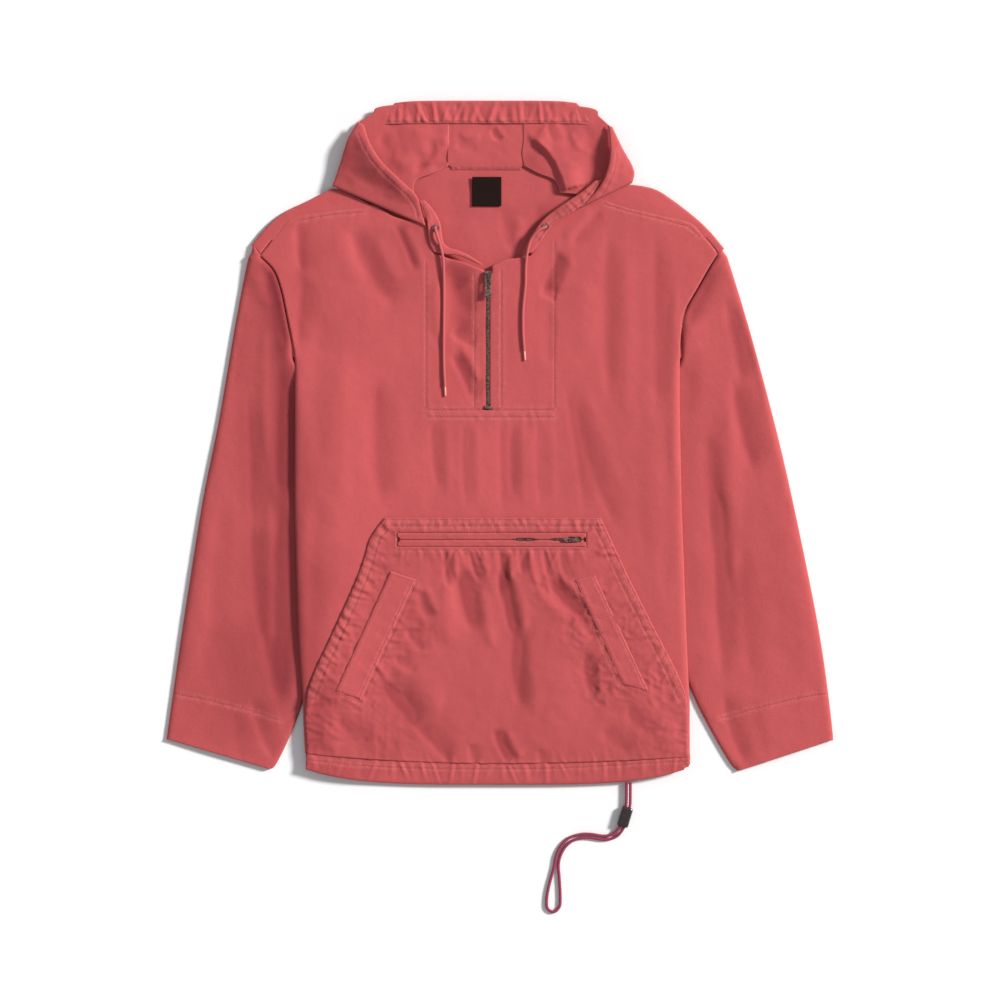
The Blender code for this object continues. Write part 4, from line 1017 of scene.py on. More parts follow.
# each paintedShades row is an area drawn darker as painted shade: x0, y0, x1, y1, half width, amount, bow,
# lean
sleeves = [
    {"name": "sleeveLeft", "node": "sleeve_left", "finish": sleeveCottonLeft, "step": 3.1,
     "cut": (0.39, 0.66), "cap": [(-300, 237), (-262, 190), (-246, 130), (-243, 100)],
     "cuff": [(-400.5, -356), (-277, -392)], "head": (285, 308), "seed": 3, "wander": 1.1, "wanderSize": 70.0,
     "creases": [(-286, 232, -250, 105, 11, -1.6, 3, 0.3), (-262, 110, -262, -80, 13, -2.6, 0, 0.4),
                 (-262, -60, -262, -330, 13, -2.0, 3, 0.2), (-303, 60, -297, -110, 9, -1.6, -3, 0.5),
                 (-297, -90, -282, -250, 10, -1.7, 3, 0.5), (-284, -225, -266, -316, 9, -1.6, 0, 0.4),
                 (-281, 150, -280, -30, 8, 1.3, 2, 0), (-279, -60, -276, -260, 9, 1.3, -2, 0),
                 (-299, -305, -270, -385, 8, -1.8, 2, 0.4), (-318, -320, -312, -385, 10, -0.9, 0, 0),
                 (-330, 100, -345, -60, 15, 0.9, 4, 0), (-352, -80, -378, -300, 18, 1.0, -4, 0),
                 (-330, -60, -345, -250, 14, -1.0, 3, 0.2), (-312, 170, -318, 60, 12, -0.8, 2, 0),
                 (-295, 205, -275, 160, 9, 1.2, 0, 0)],
     "paintedShades": [(-285, 245, -268, 80, 20, 0.46, 0, 0), (-264, 130, -262, -120, 20, 0.72, 0, 0),
                (-274, 222, -257, 90, 9, 0.75, 0, 0), (-264, -60, -262, -345, 24, 0.62, 0, 0),
                (-318, 220, -350, 20, 13, 0.24, 0, 0), (-306, 60, -300, -110, 13, 0.36, -3, 0),
                (-299, -85, -284, -250, 14, 0.34, 3, 0),
                (-330, -200, -300, -380, 40, 0.38, 0, 0), (-372, -120, -386, -290, 16, 0.12, 0, 0)],
     "seams": [{"line": [(-397, -300), (-350, -309), (-300, -322), (-262, -334)], "groove": 0.5, "dark": 0.45,
                "wear": 0.8, "pucker": {"gap": 19.0, "reach": 7.0, "width": 3.2, "rise": 0.45}}]},
    {"name": "sleeveRight", "node": "sleeve_right", "finish": sleeveCottonRight, "step": 3.1,
     "cut": (0.39, 0.66), "cap": [(267, 234), (236, 190), (222, 130), (219, 100)],
     "cuff": [(400.5, -357), (288, -394)], "head": (261, 273), "seed": 5, "wander": 1.0, "wanderSize": 70.0,
     "creases": [(262, 222, 226, 140, 10, -2.2, 3, 0.3), (270, 175, 291, 68, 10, -1.8, -4, 0.4),
                 (281, 80, 308, -40, 10, -1.9, 3, 0.4), (250, 20, 262, -120, 11, -1.6, 2, 0),
                 (258, -35, 268, -295, 12, -2.4, -3, 0.3), (276, 60, 282, -180, 11, 1.5, 2, 0),
                 (268, -298, 297, -390, 9, -2.0, 2, 0.4), (300, -300, 318, -380, 10, -0.9, 0, 0),
                 (318, 80, 345, -90, 16, 0.9, -3, 0), (345, -80, 372, -300, 18, 1.0, 3, 0),
                 (292, -120, 306, -290, 12, -1.1, 3, 0.2), (300, 150, 316, 40, 11, -0.7, 2, 0),
                 (240, 190, 225, 120, 8, 1.2, 0, 0)],
     "paintedShades": [(262, 218, 228, 130, 9, 0.60, 3, 0), (238, 120, 230, 30, 9, 0.24, 0, 0),
                (258, 60, 268, -290, 14, 0.26, 0, 0), (272, 160, 292, 66, 9, 0.28, -4, 0),
                (283, 76, 310, -44, 9, 0.30, 3, 0), (292, -120, 306, -290, 14, 0.14, 3, 0),
                (268, -298, 297, -390, 10, 0.26, 2, 0)],
     "seams": [{"line": [(397, -300), (350, -308), (300, -321), (262, -332)], "groove": 0.5, "dark": 0.4,
                "wear": 0.8, "pucker": {"gap": 19.0, "reach": 7.0, "width": 3.2, "rise": 0.45}}]},
]


def laySleeve(piece):
    # a flattened tube: top and bottom meet in round edges, and the cuff is open
    groups = risingFaces(piece["node"])[:2]
    points, triangles = max(groups, key=lambda g: np.mean([p.z for p in g[0]]))
    level = Level(points, triangles, 4.0, 8.0)
    outer = easedLoop(edgeLoops(points, triangles)[0], piece["step"], 42.0)
    near, far = piece["head"]

    def headReach(x, y):
        # the sleeve's head is carried up and in under the yoke, further in towards its tip
        inward = 1.0 + 2.6 * easeIn((abs(x) - near) / (far - near))
        return (math.copysign(inward, -x), 3.3) if y > 224 else 0.0

    outer = letOut(outer, headReach)
    lines = [seam["line"] for seam in piece["seams"]]
    spots, faces, distance = flatMesh(outer, [], piece["step"], lines)
    x, y = spots[:, 0], spots[:, 1]
    full = level.at(x, y)
    (ax, ay), (bx, by) = piece["cuff"]
    length = math.hypot(bx - ax, by - ay)
    fromCuff = np.abs((x - ax) * (by - ay) - (y - ay) * (bx - ax)) / length
    sides = [p for p in outer if abs((p.x - ax) * (by - ay) - (p.y - ay) * (bx - ax)) / length > 1.2]
    tree = KDTree(len(sides))
    for k, p in enumerate(sides):
        tree.insert((p.x, p.y, 0), k)
    tree.balance()
    distance = np.array([tree.find((a, b, 0))[2] for a, b in spots])
    distance = np.where(distance < 0.05, 0.0, distance)
    rise = creaseRise(piece["creases"], x, y)
    loose = wander(x, y, piece["wanderSize"], piece["wander"], piece["seed"]) \
        + wander(x, y, 24.0, 0.45, piece["seed"] + 4)
    cap = alongLine(piece["cap"], x, y)[1]
    full = full + 3.2 * np.exp(-(cap / 24.0) ** 2)
    top = np.maximum(full + (rise + loose) * easeIn(distance / 9.0), 3.3)
    wear = 0.5 * np.exp(-(fromCuff / 2.0) ** 2)
    # painted shade: darker in the crease troughs and in the paintedShades rows
    fold = np.clip(-rise * 0.10 + creaseRise(piece["paintedShades"], x, y), 0, 1)
    for n, seam in enumerate(piece["seams"]):
        aside = alongLine(seam["line"], x, y)[1]
        top = top - seam["groove"] * np.exp(-(aside / 1.1) ** 2)
        top = top + puckerRise(seam["line"], x, y, seam["pucker"], piece["seed"] + n) * easeIn(distance / 6.0)
        wear = np.maximum(wear, seam["wear"] * np.exp(-((np.abs(aside) - 2.0) / 2.0) ** 2))
        # painted shade along the cuff seam's groove
        fold = np.maximum(fold, seam["dark"] * np.exp(-(aside / 0.9) ** 2))
    top = top + 0.5 * np.exp(-((fromCuff - 3.0) / 2.5) ** 2) * easeIn(distance / 6.0)
    reach = 5.0
    t = np.clip(distance / reach, 0, 1)
    bulge = np.sqrt(np.clip(1 - (1 - t) ** 2, 0, 1))
    middle = 1.9
    high = middle + (top - middle) * bulge
    low = middle - middle * bulge
    count = len(spots)
    edge = distance <= 0.0
    number = np.arange(count) + count
    number[edge] = np.arange(count)[edge]
    allSpots = np.vstack([spots, spots])
    allHeights = np.concatenate([high, low])
    under = [[int(number[v]) for v in face[::-1]] for face in faces]
    made = sheetObject(piece["name"], allSpots, allHeights, faces + under, piece["finish"], 1.2,
                       {"wear": np.concatenate([wear, wear]), "fold": np.concatenate([fold, fold])})
    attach(made, "garment")
    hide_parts(piece["node"])
    width, length = piece["cut"]
    min(areaOf(made) / 2, width * length)
    print(piece["name"], len(made.data.polygons), "faces")


for sleevePiece in sleeves:
    laySleeve(sleevePiece)


# back, seen inside the neck
def backReach(x, y):
    # the back runs on under the hood at the neck, and under the heads of the sleeves
    if y > 314 and -108 < x < 72:
        return 8.0
    if 225 < y < 246 and (x < -270 or x > 245):
        return (math.copysign(3.5, x), -4.5)
    return 5.0 if 100 < y < 226 and (x < -222 or x > 205) else 0.0


# the back's paintedShades rows are painted shade
layCloth({"name": "bodyBack", "node": "back_panel", "finish": insideCotton, "step": 4.2, "cut": (0.56, 0.73),
          "low": 1.3, "edgeStep": 5.0, "seed": 8, "wander": 0.5, "edgeRoll": 0.5, "letOut": backReach,
          "paintedShades": [(0, 300, 18, 232, 10, 0.16, 3, 0), (62, 300, 40, 240, 10, 0.25, 3, 0),
                     (-80, 240, -30, 222, 8, 0.14, 0, 0)],
          "coarse": lambda x, y: y < 190, "soft": 9.0,
          "creases": [(4, 285, 16, 228, 8, -1.6, 3, 0.5), (50, 290, 17, 230, 8, -1.4, -4, 0.4),
                      (24, 275, 19, 232, 7, 1.5, 0, 0), (-60, 318, -52, 260, 16, -1.0, 3, 0),
                      (-45, 270, -20, 225, 14, 0.9, 0, 0), (66, 300, 46, 240, 10, -1.3, 3, 0.3)]})

# front
def frontReach(x, y):
    # the front runs on under the hood and its casings, and closes up to the zip's teeth
    if y > 222 and (-163 < x < -81 or 62 < x < 121):
        return 5.0
    if y > 216 and -81 <= x < -60:
        return 5.0 * (-60 - x) / 21
    if y > 216 and 20 < x <= 62:
        return 3.0 * min((x - 20) / 18, 1.0)
    return 3.0 if -20 < x < -8 and 42 < y < 203 else 0.0


# the front's paintedShades rows are painted shade
frontPiece = {
    "name": "bodyFront", "node": "front_panel", "finish": bodyCotton, "step": 2.9, "cut": (0.57, 0.72),
    "seed": 12, "wander": 0.75, "wanderSize": 60.0, "edgeStep": 2.6, "edgeRoll": 1.3, "edgeReach": 2.4,
    "wall": 1.2, "foldShade": 0.10, "on": ["bodyBack"],
    "letOut": frontReach,
    "paintedShades": [(-242, 60, -236, -360, 20, 0.42, 0, 0), (-222, -120, -226, -330, 24, 0.22, 0, 0),
               (-66, 218, -34, 190, 15, 0.66, 0, 0), (-48, 205, -42, 120, 13, 0.52, 0, 0),
               (-52, 112, -30, 48, 10, 0.46, 0, 0), (-36, 200, -26, 60, 8, 0.20, 0, 0),
               (-172, 262, -122, 166, 12, 0.36, 4, 0), (-128, 266, -100, 202, 7, 0.60, -2, 0),
               (-236, 262, -241, 110, 7, 0.40, 0, 0), (74, 236, 52, 176, 9, 0.46, -4, 0),
               (186, 250, 188, 30, 11, 0.24, 0, 0), (-146, 90, -141, -84, 12, 0.26, 3, 0),
               (-190, -110, -196, -200, 24, 0.12, 0, 0), (92, 54, 146, -104, 10, 0.24, 6, 0),
               (131, 250, 133, 50, 10, 0.16, 0, 0), (76, 74, 100, -84, 8, 0.2, -4, 0),
               (-80, 30, -74, -60, 6, 0.16, 2, 0), (-42, 28, -40, -70, 6, 0.14, 2, 0),
               (0, 28, 2, -80, 6, 0.16, -2, 0)],
    "coarse": lambda x, y: y < -112 and abs(x + 5) < 120 + (-112 - y) * 0.3,
    "creases": [
        (-242, 268, -236, 200, 7, -1.62, 2, 0.4), (-236, 205, -243, 108, 8, -1.73, -2, 0.4),
        (-180, 262, -122, 160, 15, -2.05, 5, 0.3), (-200, 258, -160, 190, 15, 1.19, 4, 0),
        (-127, 266, -101, 203, 5, -2.38, -2, 0.7), (-116, 262, -92, 206, 7, 1.62, -2, 0),
        (-150, 250, -118, 190, 9, 1.08, 2, 0), (-146, 84, -140, -82, 12, -1.83, 3, 0.2),
        (-165, 60, -166, -60, 13, 0.68, 2, 0), (-124, 70, -122, -80, 12, 0.61, -2, 0),
        (-210, 170, -214, -40, 15, -1.08, 5, 0.2), (-190, 120, -192, -90, 13, 0.86, -4, 0),
        (-60, 214, -30, 150, 15, -2.43, 4, 0.3), (-75, 200, -72, 120, 9, 1.76, 2, 0),
        (-60, 134, -28, 116, 5, -2.16, 2, 0.7), (-60, 108, -30, 44, 6, -2.43, -3, 0.6),
        (-48, 118, -24, 70, 6, 1.76, -2, 0), (-80, 32, -74, -60, 6, -1.01, 2, 0.4),
        (-66, 30, -62, -70, 6, 0.68, -1, 0), (-42, 30, -40, -80, 6, -0.94, 2, 0.5),
        (-28, 30, -26, -70, 6, 0.61, 1, 0), (0, 30, 2, -84, 6, -1.15, -2, 0.5),
        (14, 30, 15, -70, 5, -0.88, 1, 0.4), (28, 30, 30, -80, 7, 0.74, 2, 0),
        (46, 30, 49, -80, 6, -0.88, 2, 0.4),
        (60, 30, 64, -76, 6, 0.61, -1, 0), (76, 80, 102, -92, 7, -1.08, -4, 0.5),
        (90, 56, 146, -112, 9, -1.01, 6, 0.4), (104, 70, 150, -60, 9, 0.68, 5, 0),
        (124, 280, 84, 234, 5, -1.73, 2, 0.5), (112, 282, 76, 240, 6, 1.08, 2, 0),
        (71, 232, 49, 178, 8, -2.59, -4, 0.6), (48, 180, 68, 171, 5, -1.94, -2, 0.5),
        (86, 226, 68, 178, 8, 1.41, -3, 0), (60, 165, 62, 90, 9, -0.98, 2, 0),
        (131, 262, 133, 40, 10, -1.41, 3, 0.2), (150, 250, 150, 20, 11, 0.98, -3, 0),
        (186, 262, 188, 20, 10, -1.62, -3, 0.3), (212, 200, 210, -60, 8, 1.51, 2, 0),
        (170, 60, 178, -160, 14, -0.74, 4, 0.2), (196, 0, 198, -200, 10, -0.68, -3, 0),
        (-215, -60, -220, -240, 12, -0.81, 4, 0.2), (-232, -40, -232, -300, 7, 0.61, 2, 0),
        (100, 200, 104, 100, 14, 0.86, 0, 0)],
    "seams": [
        {"line": [(-30, 203), (-30, 41)], "groove": 0.4, "dark": 0.35, "wear": 0.7,
         "pucker": {"gap": 7.5, "reach": 5.0, "width": 2.2, "rise": 0.35}},
        {"line": [(2, 208), (2, 41)], "groove": 0.4, "dark": 0.35, "wear": 0.8,
         "pucker": {"gap": 7.0, "reach": 5.0, "width": 2.2, "rise": 0.35}},
        {"line": [(-88.5, 218), (-88.3, 41)], "groove": 0.35, "dark": 0.25, "wear": 0.5,
         "pucker": {"gap": 11.0, "reach": 5.0, "width": 2.6, "rise": 0.3}},
        {"line": [(66.3, 245), (66.0, 41)], "groove": 0.3, "dark": 0.2, "wear": 0.4,
         "pucker": {"gap": 12.0, "reach": 5.0, "width": 2.6, "rise": 0.3}},
        {"line": [(-88.3, 39.5), (66.0, 39.5)], "groove": 0.45, "dark": 0.4, "wear": 0.8,
         "pucker": {"gap": 10.0, "reach": 6.0, "width": 2.6, "rise": 0.5}},
        {"line": [(-88.3, 31.0), (66.0, 31.0)], "groove": 0.45, "dark": 0.4, "wear": 0.8,
         "pucker": {"gap": 12.0, "reach": 9.0, "width": 3.0, "rise": 0.6}},
        {"line": [(-161, 277), (-205, 273.5), (-247, 266)], "groove": 0.4, "dark": 0.3, "wear": 0.8,
         "pucker": {"gap": 13.0, "reach": 6.0, "width": 2.8, "rise": 0.4}},
        {"line": [(125, 287), (150, 279), (190, 269.5), (226, 260), (241, 247)], "groove": 0.4, "dark": 0.3,
         "wear": 0.9, "pucker": {"gap": 13.0, "reach": 6.0, "width": 2.8, "rise": 0.4}}],
}


def sideRoll(x, y, distance):
    # the body's sides turn down over the sleeves
    atSide = easeIn((np.abs(x + 8) - 190) / 20) * easeIn((108 - y) / 20)
    t = np.clip(distance / 8.0, 0, 1)
    return sideRise(x, y) - atSide * 3.0 * (1 - np.sqrt(np.clip(1 - (1 - t) ** 2, 0, 1)))


shoulderSeam = {False: [(-161, 277), (-205, 273.5), (-247, 266), (-262, 252), (-284, 232)],
                True: [(125, 287), (150, 279), (190, 269.5), (226, 260), (241, 247), (258, 233)]}


def atOne(x, y):
    return np.array([float(x)]), np.array([float(y)])


def yokeReach(x, y):
    # the yokes run on under the hood, over the sleeve's head, and under the front
    if y > (291 if x > -150 else 277) and -196 < x < 157:
        return 5.0
    run, aside, length = alongLine(shoulderSeam[x > 0], *atOne(x, y))
    return 3.0 if abs(aside[0]) < 9.5 and run[0] < length - 16 else 0.0


frontPiece["swell"] = sideRoll
layCloth(frontPiece)
for side in ("left", "right"):
    layCloth({"name": "shoulderYoke_" + side, "node": "shoulder_" + side, "finish": bodyCotton, "step": 2.6,
              "cut": (0.035, 0.14), "seed": 14, "wander": 0.3, "edgeRoll": 1.2, "soft": 5.0, "cell": 3.0,
              "lift": 0.5, "letOut": yokeReach})

# hem
# the hem casing's paintedShades row is painted shade
layCloth({"name": "hemCasingFront", "node": "hem_casing_front", "finish": bandCotton, "step": 1.9,
          "cut": (0.47, 0.055), "seed": 17, "wander": 0.6, "wanderSize": 26.0, "wall": 2.2, "soft": 4.0,
          "cell": 3.0, "edgeRoll": 2.0, "edgeReach": 3.6, "swell": lambda x, y, d: sideRise(x, y),
          "lift": 1.3, "letOut": lambda x, y: (0.0, 4.0) if y > -392 else 0.0,
          "paintedShades": [(-236, -388, -130, -398, 12, 0.25, 0, 0)],
          "seams": [{"line": [(-231, -380), (-180, -386.5), (-120, -390), (-60, -391.5), (0, -391.5),
                              (60, -391), (120, -388.5), (180, -384), (227, -382)],
                     "groove": 0.35, "dark": 0.3, "wear": 0.8,
                     "pucker": {"gap": 15.0, "reach": 15.0, "width": 2.6, "rise": 1.15}}]})
layCloth({"name": "hemCasingBack", "node": "hem_casing_back", "finish": bandCotton, "step": 4.0,
          "cut": (0.47, 0.055), "seed": 18, "wander": 0.1, "edgeRoll": 0.5, "wall": 1.3, "soft": 4.0,
          "cell": 3.0, "edgeReach": 1.5, "low": 1.3})
print("body laid")


# kangaroo pocket
pocketSides = {"left": [(-137.7, -92), (-154.0, -110), (-169.0, -158), (-194.0, -214), (-221.0, -272),
                        (-233.0, -304)],
               "right": [(121.5, -92), (131.0, -110), (153.0, -158), (181.0, -214), (211.0, -272),
                         (225.0, -304)]}
welts = {"left": [(-131, -154), (-101, -164), (-167, -308), (-197, -298)],
         "right": [(90, -165), (114, -159), (179, -299), (147, -290)]}
weltCreases = {"left": [(-150, -232, -116, -222, 4, -0.5, 1, 0.3),
                        (-172, -266, -138, -256, 5, -0.55, -1, 0.3),
                        (-188, -290, -158, -278, 4, -0.5, 1, 0.3), (-134, -190, -108, -186, 5, 0.4, 0, 0)],
               "right": [(98, -188, 128, -196, 5, -0.5, 1, 0.3), (116, -228, 146, -238, 4, -0.6, -1, 0.3),
                         (132, -262, 162, -260, 5, -0.5, 1, 0.3), (142, -282, 172, -292, 4, 0.4, 0, 0)]}
sidePucker = {"gap": 9.0, "reach": 13.0, "width": 3.0, "rise": 1.25}


def sideSeam(line, off, wear=0.8):
    return {"line": offsetLine(line, off), "groove": 0.4, "dark": 0.3, "wear": wear, "pucker": sidePucker}


# the pocket's paintedShades rows are painted shade
layCloth({
    "name": "kangarooPocket", "node": "kangaroo_pocket", "finish": pocketCotton, "step": 2.15,
    "cut": (0.47, 0.31), "seed": 23, "wander": 0.9, "wanderSize": 42.0, "edgeStep": 2.2, "edgeRoll": 1.2,
    "edgeReach": 2.2, "wall": 1.2, "foldShade": 0.12, "on": ["bodyFront"], "soft": 8.0, "edgeCalm": 7.0,
    "clear": 1.35, "swell": lambda x, y, d: sideRise(x, y),
    "crumple": [(-190, -240, 40, 1.0), (-165, -290, 45, 1.1), (-200, -330, 38, 0.9), (-135, -150, 30, 0.9),
                (-110, -230, 34, 0.7), (-140, -340, 40, 0.6), (150, -230, 36, 1.1), (185, -290, 40, 1.2),
                (120, -190, 30, 1.0), (130, -280, 36, 1.1), (100, -230, 30, 0.9), (200, -350, 34, 0.7),
                (60, -180, 30, 0.6), (130, -125, 20, 0.9), (-30, -150, 34, 0.4)],
    "paintedShades": [(-65, -124, -62, -164, 3.2, 0.36, 0, 0), (2, -136, 10, -181, 3.4, 0.5, -2, 0),
               (13, -127, 12, -161, 3, 0.3, 0, 0), (54, -155, 59, -185, 3.2, 0.36, 2, 0),
               (74, -153, 86, -179, 3.4, 0.4, 2, 0), (91, -124, 90, -149, 3, 0.3, 0, 0),
               (-48, -140, -28, -236, 16, 0.20, 4, 0), (0, -140, 18, -250, 12, 0.30, -3, 0),
               (22, -215, 30, -330, 20, 0.22, 3, 0), (60, -158, 112, -222, 12, 0.24, 4, 0),
               (108, -240, 114, -316, 12, 0.26, 3, 0), (-216, -270, -222, -384, 26, 0.50, 0, 0),
               (-160, -280, -92, -372, 20, 0.28, -6, 0), (-190, -330, -110, -388, 20, 0.26, 0, 0),
               (-16, -340, 14, -388, 10, 0.26, 2, 0), (-120, -170, -90, -236, 9, 0.18, 0, 0),
               (132, -170, 172, -300, 14, 0.12, 0, 0), (160, -330, 200, -376, 18, 0.14, 0, 0)],
    "creases": [
        (-66, -126, -62, -176, 4, -1.68, 1, 0.4), (-54, -126, -50, -168, 3.5, 1.4, 1, 0),
        (-36, -127, -24, -168, 4, -1.82, 2, 0.4), (-20, -127, -14, -160, 4, 1.4, 0, 0),
        (0, -126, 2, -186, 4.5, -2.38, -1, 0.5), (12, -126, 13, -166, 4, 1.68, 0, 0),
        (24, -126, 28, -160, 4, -1.68, 1, 0.4), (37, -127, 46, -176, 4, 1.54, 2, 0),
        (52, -126, 60, -166, 4, -1.68, 1, 0.4), (72, -127, 84, -172, 4, -1.4, 2, 0.4),
        (-48, -146, -28, -232, 13, -3.22, 4, 0.3), (-62, -160, -60, -250, 14, 1.68, 3, 0),
        (-4, -150, 16, -236, 9, -2.9, -3, 0.4), (10, -150, 30, -230, 9, 2.38, -3, 0),
        (-22, -170, -8, -250, 8, 1.68, 2, 0), (22, -218, 27, -322, 13, -2.66, 3, 0.3),
        (36, -226, 44, -330, 12, 1.68, 3, 0), (56, -160, 106, -214, 8, -3.08, 4, 0.5),
        (70, -154, 112, -196, 6, 1.96, 3, 0), (44, -172, 84, -216, 8, 1.68, 4, 0),
        (92, -206, 118, -238, 7, -2.1, 0, 0.4), (104, -250, 112, -306, 8, -2.38, 3, 0.5),
        (118, -262, 130, -318, 7, 1.54, 2, 0), (-148, -288, -98, -346, 11, -2.66, -5, 0.4),
        (-104, -338, -58, -386, 9, -2.24, -3, 0.4), (-130, -262, -70, -330, 16, 1.96, -5, 0),
        (-8, -342, 14, -386, 6, -2.8, 2, 0.5), (8, -344, 28, -380, 6, 1.68, 2, 0),
        (-36, -360, -30, -390, 6, -1.54, 0, 0.3), (46, -366, 52, -392, 6, -1.4, 0, 0.3),
        (-96, -176, -84, -214, 7, -1.82, 2, 0.4), (-88, -172, -74, -206, 6, 1.4, 2, 0),
        (-112, -222, -90, -250, 7, -1.68, 3, 0.4), (-128, -256, -100, -276, 6, -1.54, 2, 0.4),
        (150, -316, 190, -352, 10, -1.68, 4, 0.3), (120, -340, 160, -372, 10, -1.4, 3, 0.3),
        (-200, -330, -150, -360, 12, -1.54, 4, 0.3), (-212, -312, -196, -376, 12, 1.26, 0, 0),
        (200, -330, 206, -378, 10, 1.4, 0, 0)],
    "seams": [
        {"line": [(-139, -92.2), (122, -92.2)], "groove": 0.4, "dark": 0.35, "wear": 0.8,
         "pucker": {"gap": 11.0, "reach": 9.0, "width": 2.7, "rise": 1.05, "side": 1}},
        {"line": [(-140, -99.6), (124, -99.6)], "groove": 0.45, "dark": 0.4, "wear": 0.8,
         "pucker": {"gap": 9.5, "reach": 7.0, "width": 2.4, "rise": 1.1}},
        {"line": [(-123, -129), (104, -129)], "groove": 0.3, "dark": 0.2, "wear": 0.6,
         "pucker": {"gap": 11.0, "reach": 16.0, "width": 3.0, "rise": 1.25, "side": 1}},
        sideSeam(pocketSides["left"], 2.2), sideSeam(pocketSides["left"], 11.0, 0.6),
        sideSeam(pocketSides["right"], -2.2), sideSeam(pocketSides["right"], -11.0, 0.6),
        {"line": [(-99, -166), (-166, -311)], "groove": 0.3, "dark": 0.3, "wear": 0.5,
         "pucker": {"gap": 14.0, "reach": 12.0, "width": 3.6, "rise": 1.5}},
        {"line": [(88, -166), (145, -293)], "groove": 0.1, "dark": 0.3, "wear": 0.5,
         "pucker": {"gap": 13.0, "reach": 14.0, "width": 3.8, "rise": 1.15}},
        {"line": [(-232, -309), (-230, -376)], "groove": 0.0, "dark": 0.1, "wear": 0.2,
         "pucker": {"gap": 8.5, "reach": 17.0, "width": 3.0, "rise": 1.1}},
        {"line": [(224, -309), (226, -376)], "groove": 0.0, "dark": 0.1, "wear": 0.2,
         "pucker": {"gap": 9.5, "reach": 15.0, "width": 3.0, "rise": 1.0}},
        {"line": [(-196, -301), (-164, -312)], "groove": 0.3, "dark": 0.3, "wear": 0.5,
         "pucker": {"gap": 9.0, "reach": 9.0, "width": 3.0, "rise": 0.9}},
        {"line": [(-228, -379), (-120, -384.5), (0, -387), (120, -384), (225, -379)], "groove": 0.2,
         "dark": 0.2, "wear": 0.4, "pucker": {"gap": 17.0, "reach": 11.0, "width": 3.0, "rise": 0.7}}],
})

for side, corners in welts.items():
    a, b, c, d = corners
    layCloth({"name": "handWelt_" + side, "node": "hand_welt_" + side,
              "finish": weltCottonLeft if side == "left" else weltCottonRight, "step": 1.8,
              "cut": (0.036, 0.165), "seed": 31, "wander": 0.35, "wanderSize": 30.0, "edgeRoll": 0.9,
              "edgeReach": 1.8, "soft": 5.0, "cell": 3.0, "on": ["kangarooPocket"],
              "lift": 1.2 if side == "left" else 0.85, "over": ["kangarooPocket"],
              "corners": corners, "creases": weltCreases[side],
              "seams": [{"line": offsetLine([a, d], 2.0), "groove": 0.3, "dark": 0.2, "wear": 0.6},
                        {"line": offsetLine([b, c], -2.0), "groove": 0.3, "dark": 0.25, "wear": 0.7,
                         "pucker": {"gap": 14.0, "reach": 5.0, "width": 2.6, "rise": 0.35}}]})


def lipReach(x):
    # the lips meet all along, but part where the slider stands and beside it
    parted = 0.92 * (easeIn((x - 79) / 4.0) * easeIn((99 - x) / 4.0)) \
        + 0.52 * (easeIn((x - 12) / 12.0) * easeIn((47 - x) / 12.0)) \
        + 0.40 * (easeIn((x - 56) / 10.0) * easeIn((80 - x) / 3.0))
    return 3.05 * (1 - min(parted, 0.94))


for place in ("upper", "lower"):
    layCloth({"name": "pocketWelt_" + place, "node": "pocket_welt_" + place, "finish": bandCotton,
              "step": 1.5, "cut": (0.235, 0.0105), "seed": 37, "wander": 0.25, "wanderSize": 14.0,
              "edgeRoll": 0.6, "edgeReach": 1.1, "soft": 3.0, "cell": 2.0, "edgeCalm": 1.5,
              "letOut": lambda x, y: lipReach(x) if -120 < x < 100 and -121.5 < y < -111.5 else 0.7,
              "creases": [(-70, -112, -30, -110, 3, 0.5, 0, 0), (-8, -110, 12, -113, 3, -0.4, 0, 0),
                          (-90, -122, -60, -121, 3, 0.5, 0, 0), (-20, -121, 20, -123, 3, 0.4, 0, 0)]})
layCloth({"name": "neckLabel", "node": "neck_label", "finish": labelWeave, "step": 1.6, "cut": (0.036, 0.036),
          "slot": "woven_label", "seed": 41, "wander": 0.3, "wanderSize": 20.0, "edgeRoll": 0.3,
          "edgeReach": 0.9, "wall": 0.6, "soft": 4.0, "cell": 2.5, "on": ["bodyBack"]})
print("pocket and label laid")


# hood
leftRim = [(-166.5, 386.5), (-163, 375.5), (-154.5, 356), (-147, 342.8), (-132.4, 326.6), (-117.8, 313.2),
           (-105.5, 302), (-96.9, 291.2), (-92, 281.6), (-89.7, 270.3), (-87.8, 257.9)]
rightRim = [(131.0, 380.5), (131.9, 348.8), (131.1, 336.8), (127.5, 324.1), (120.3, 308.2), (110.5, 294.8),
            (98.2, 285.2), (85.5, 276.8), (73.5, 269), (63.8, 259.2)]


def hoodLift(x, y, distance):
    # the hood's opening stands up a little; most at its sides, none at the neck
    left = alongLine(leftRim, x, y)
    right = alongLine(rightRim, x, y)
    upper = easeIn((y - 268) / 55.0)
    upper = upper * (1 - 0.85 * easeIn((y - 352) / 30.0))
    leftRise = 10.5 * np.exp(-(np.abs(left[1]) / 27.0) ** 1.5)
    rightRise = 9.0 * np.exp(-(np.abs(right[1]) / 24.0) ** 1.6)
    return (leftRise + rightRise) * upper


def hoodGroup(node, flap):
    # which group of faces is the folded-out flap, and which is the floor under it
    groups = risingFaces(node)[:2]
    heights = [np.mean([p.z for p in g[0]]) for g in groups]
    return heights.index(max(heights) if flap else min(heights))


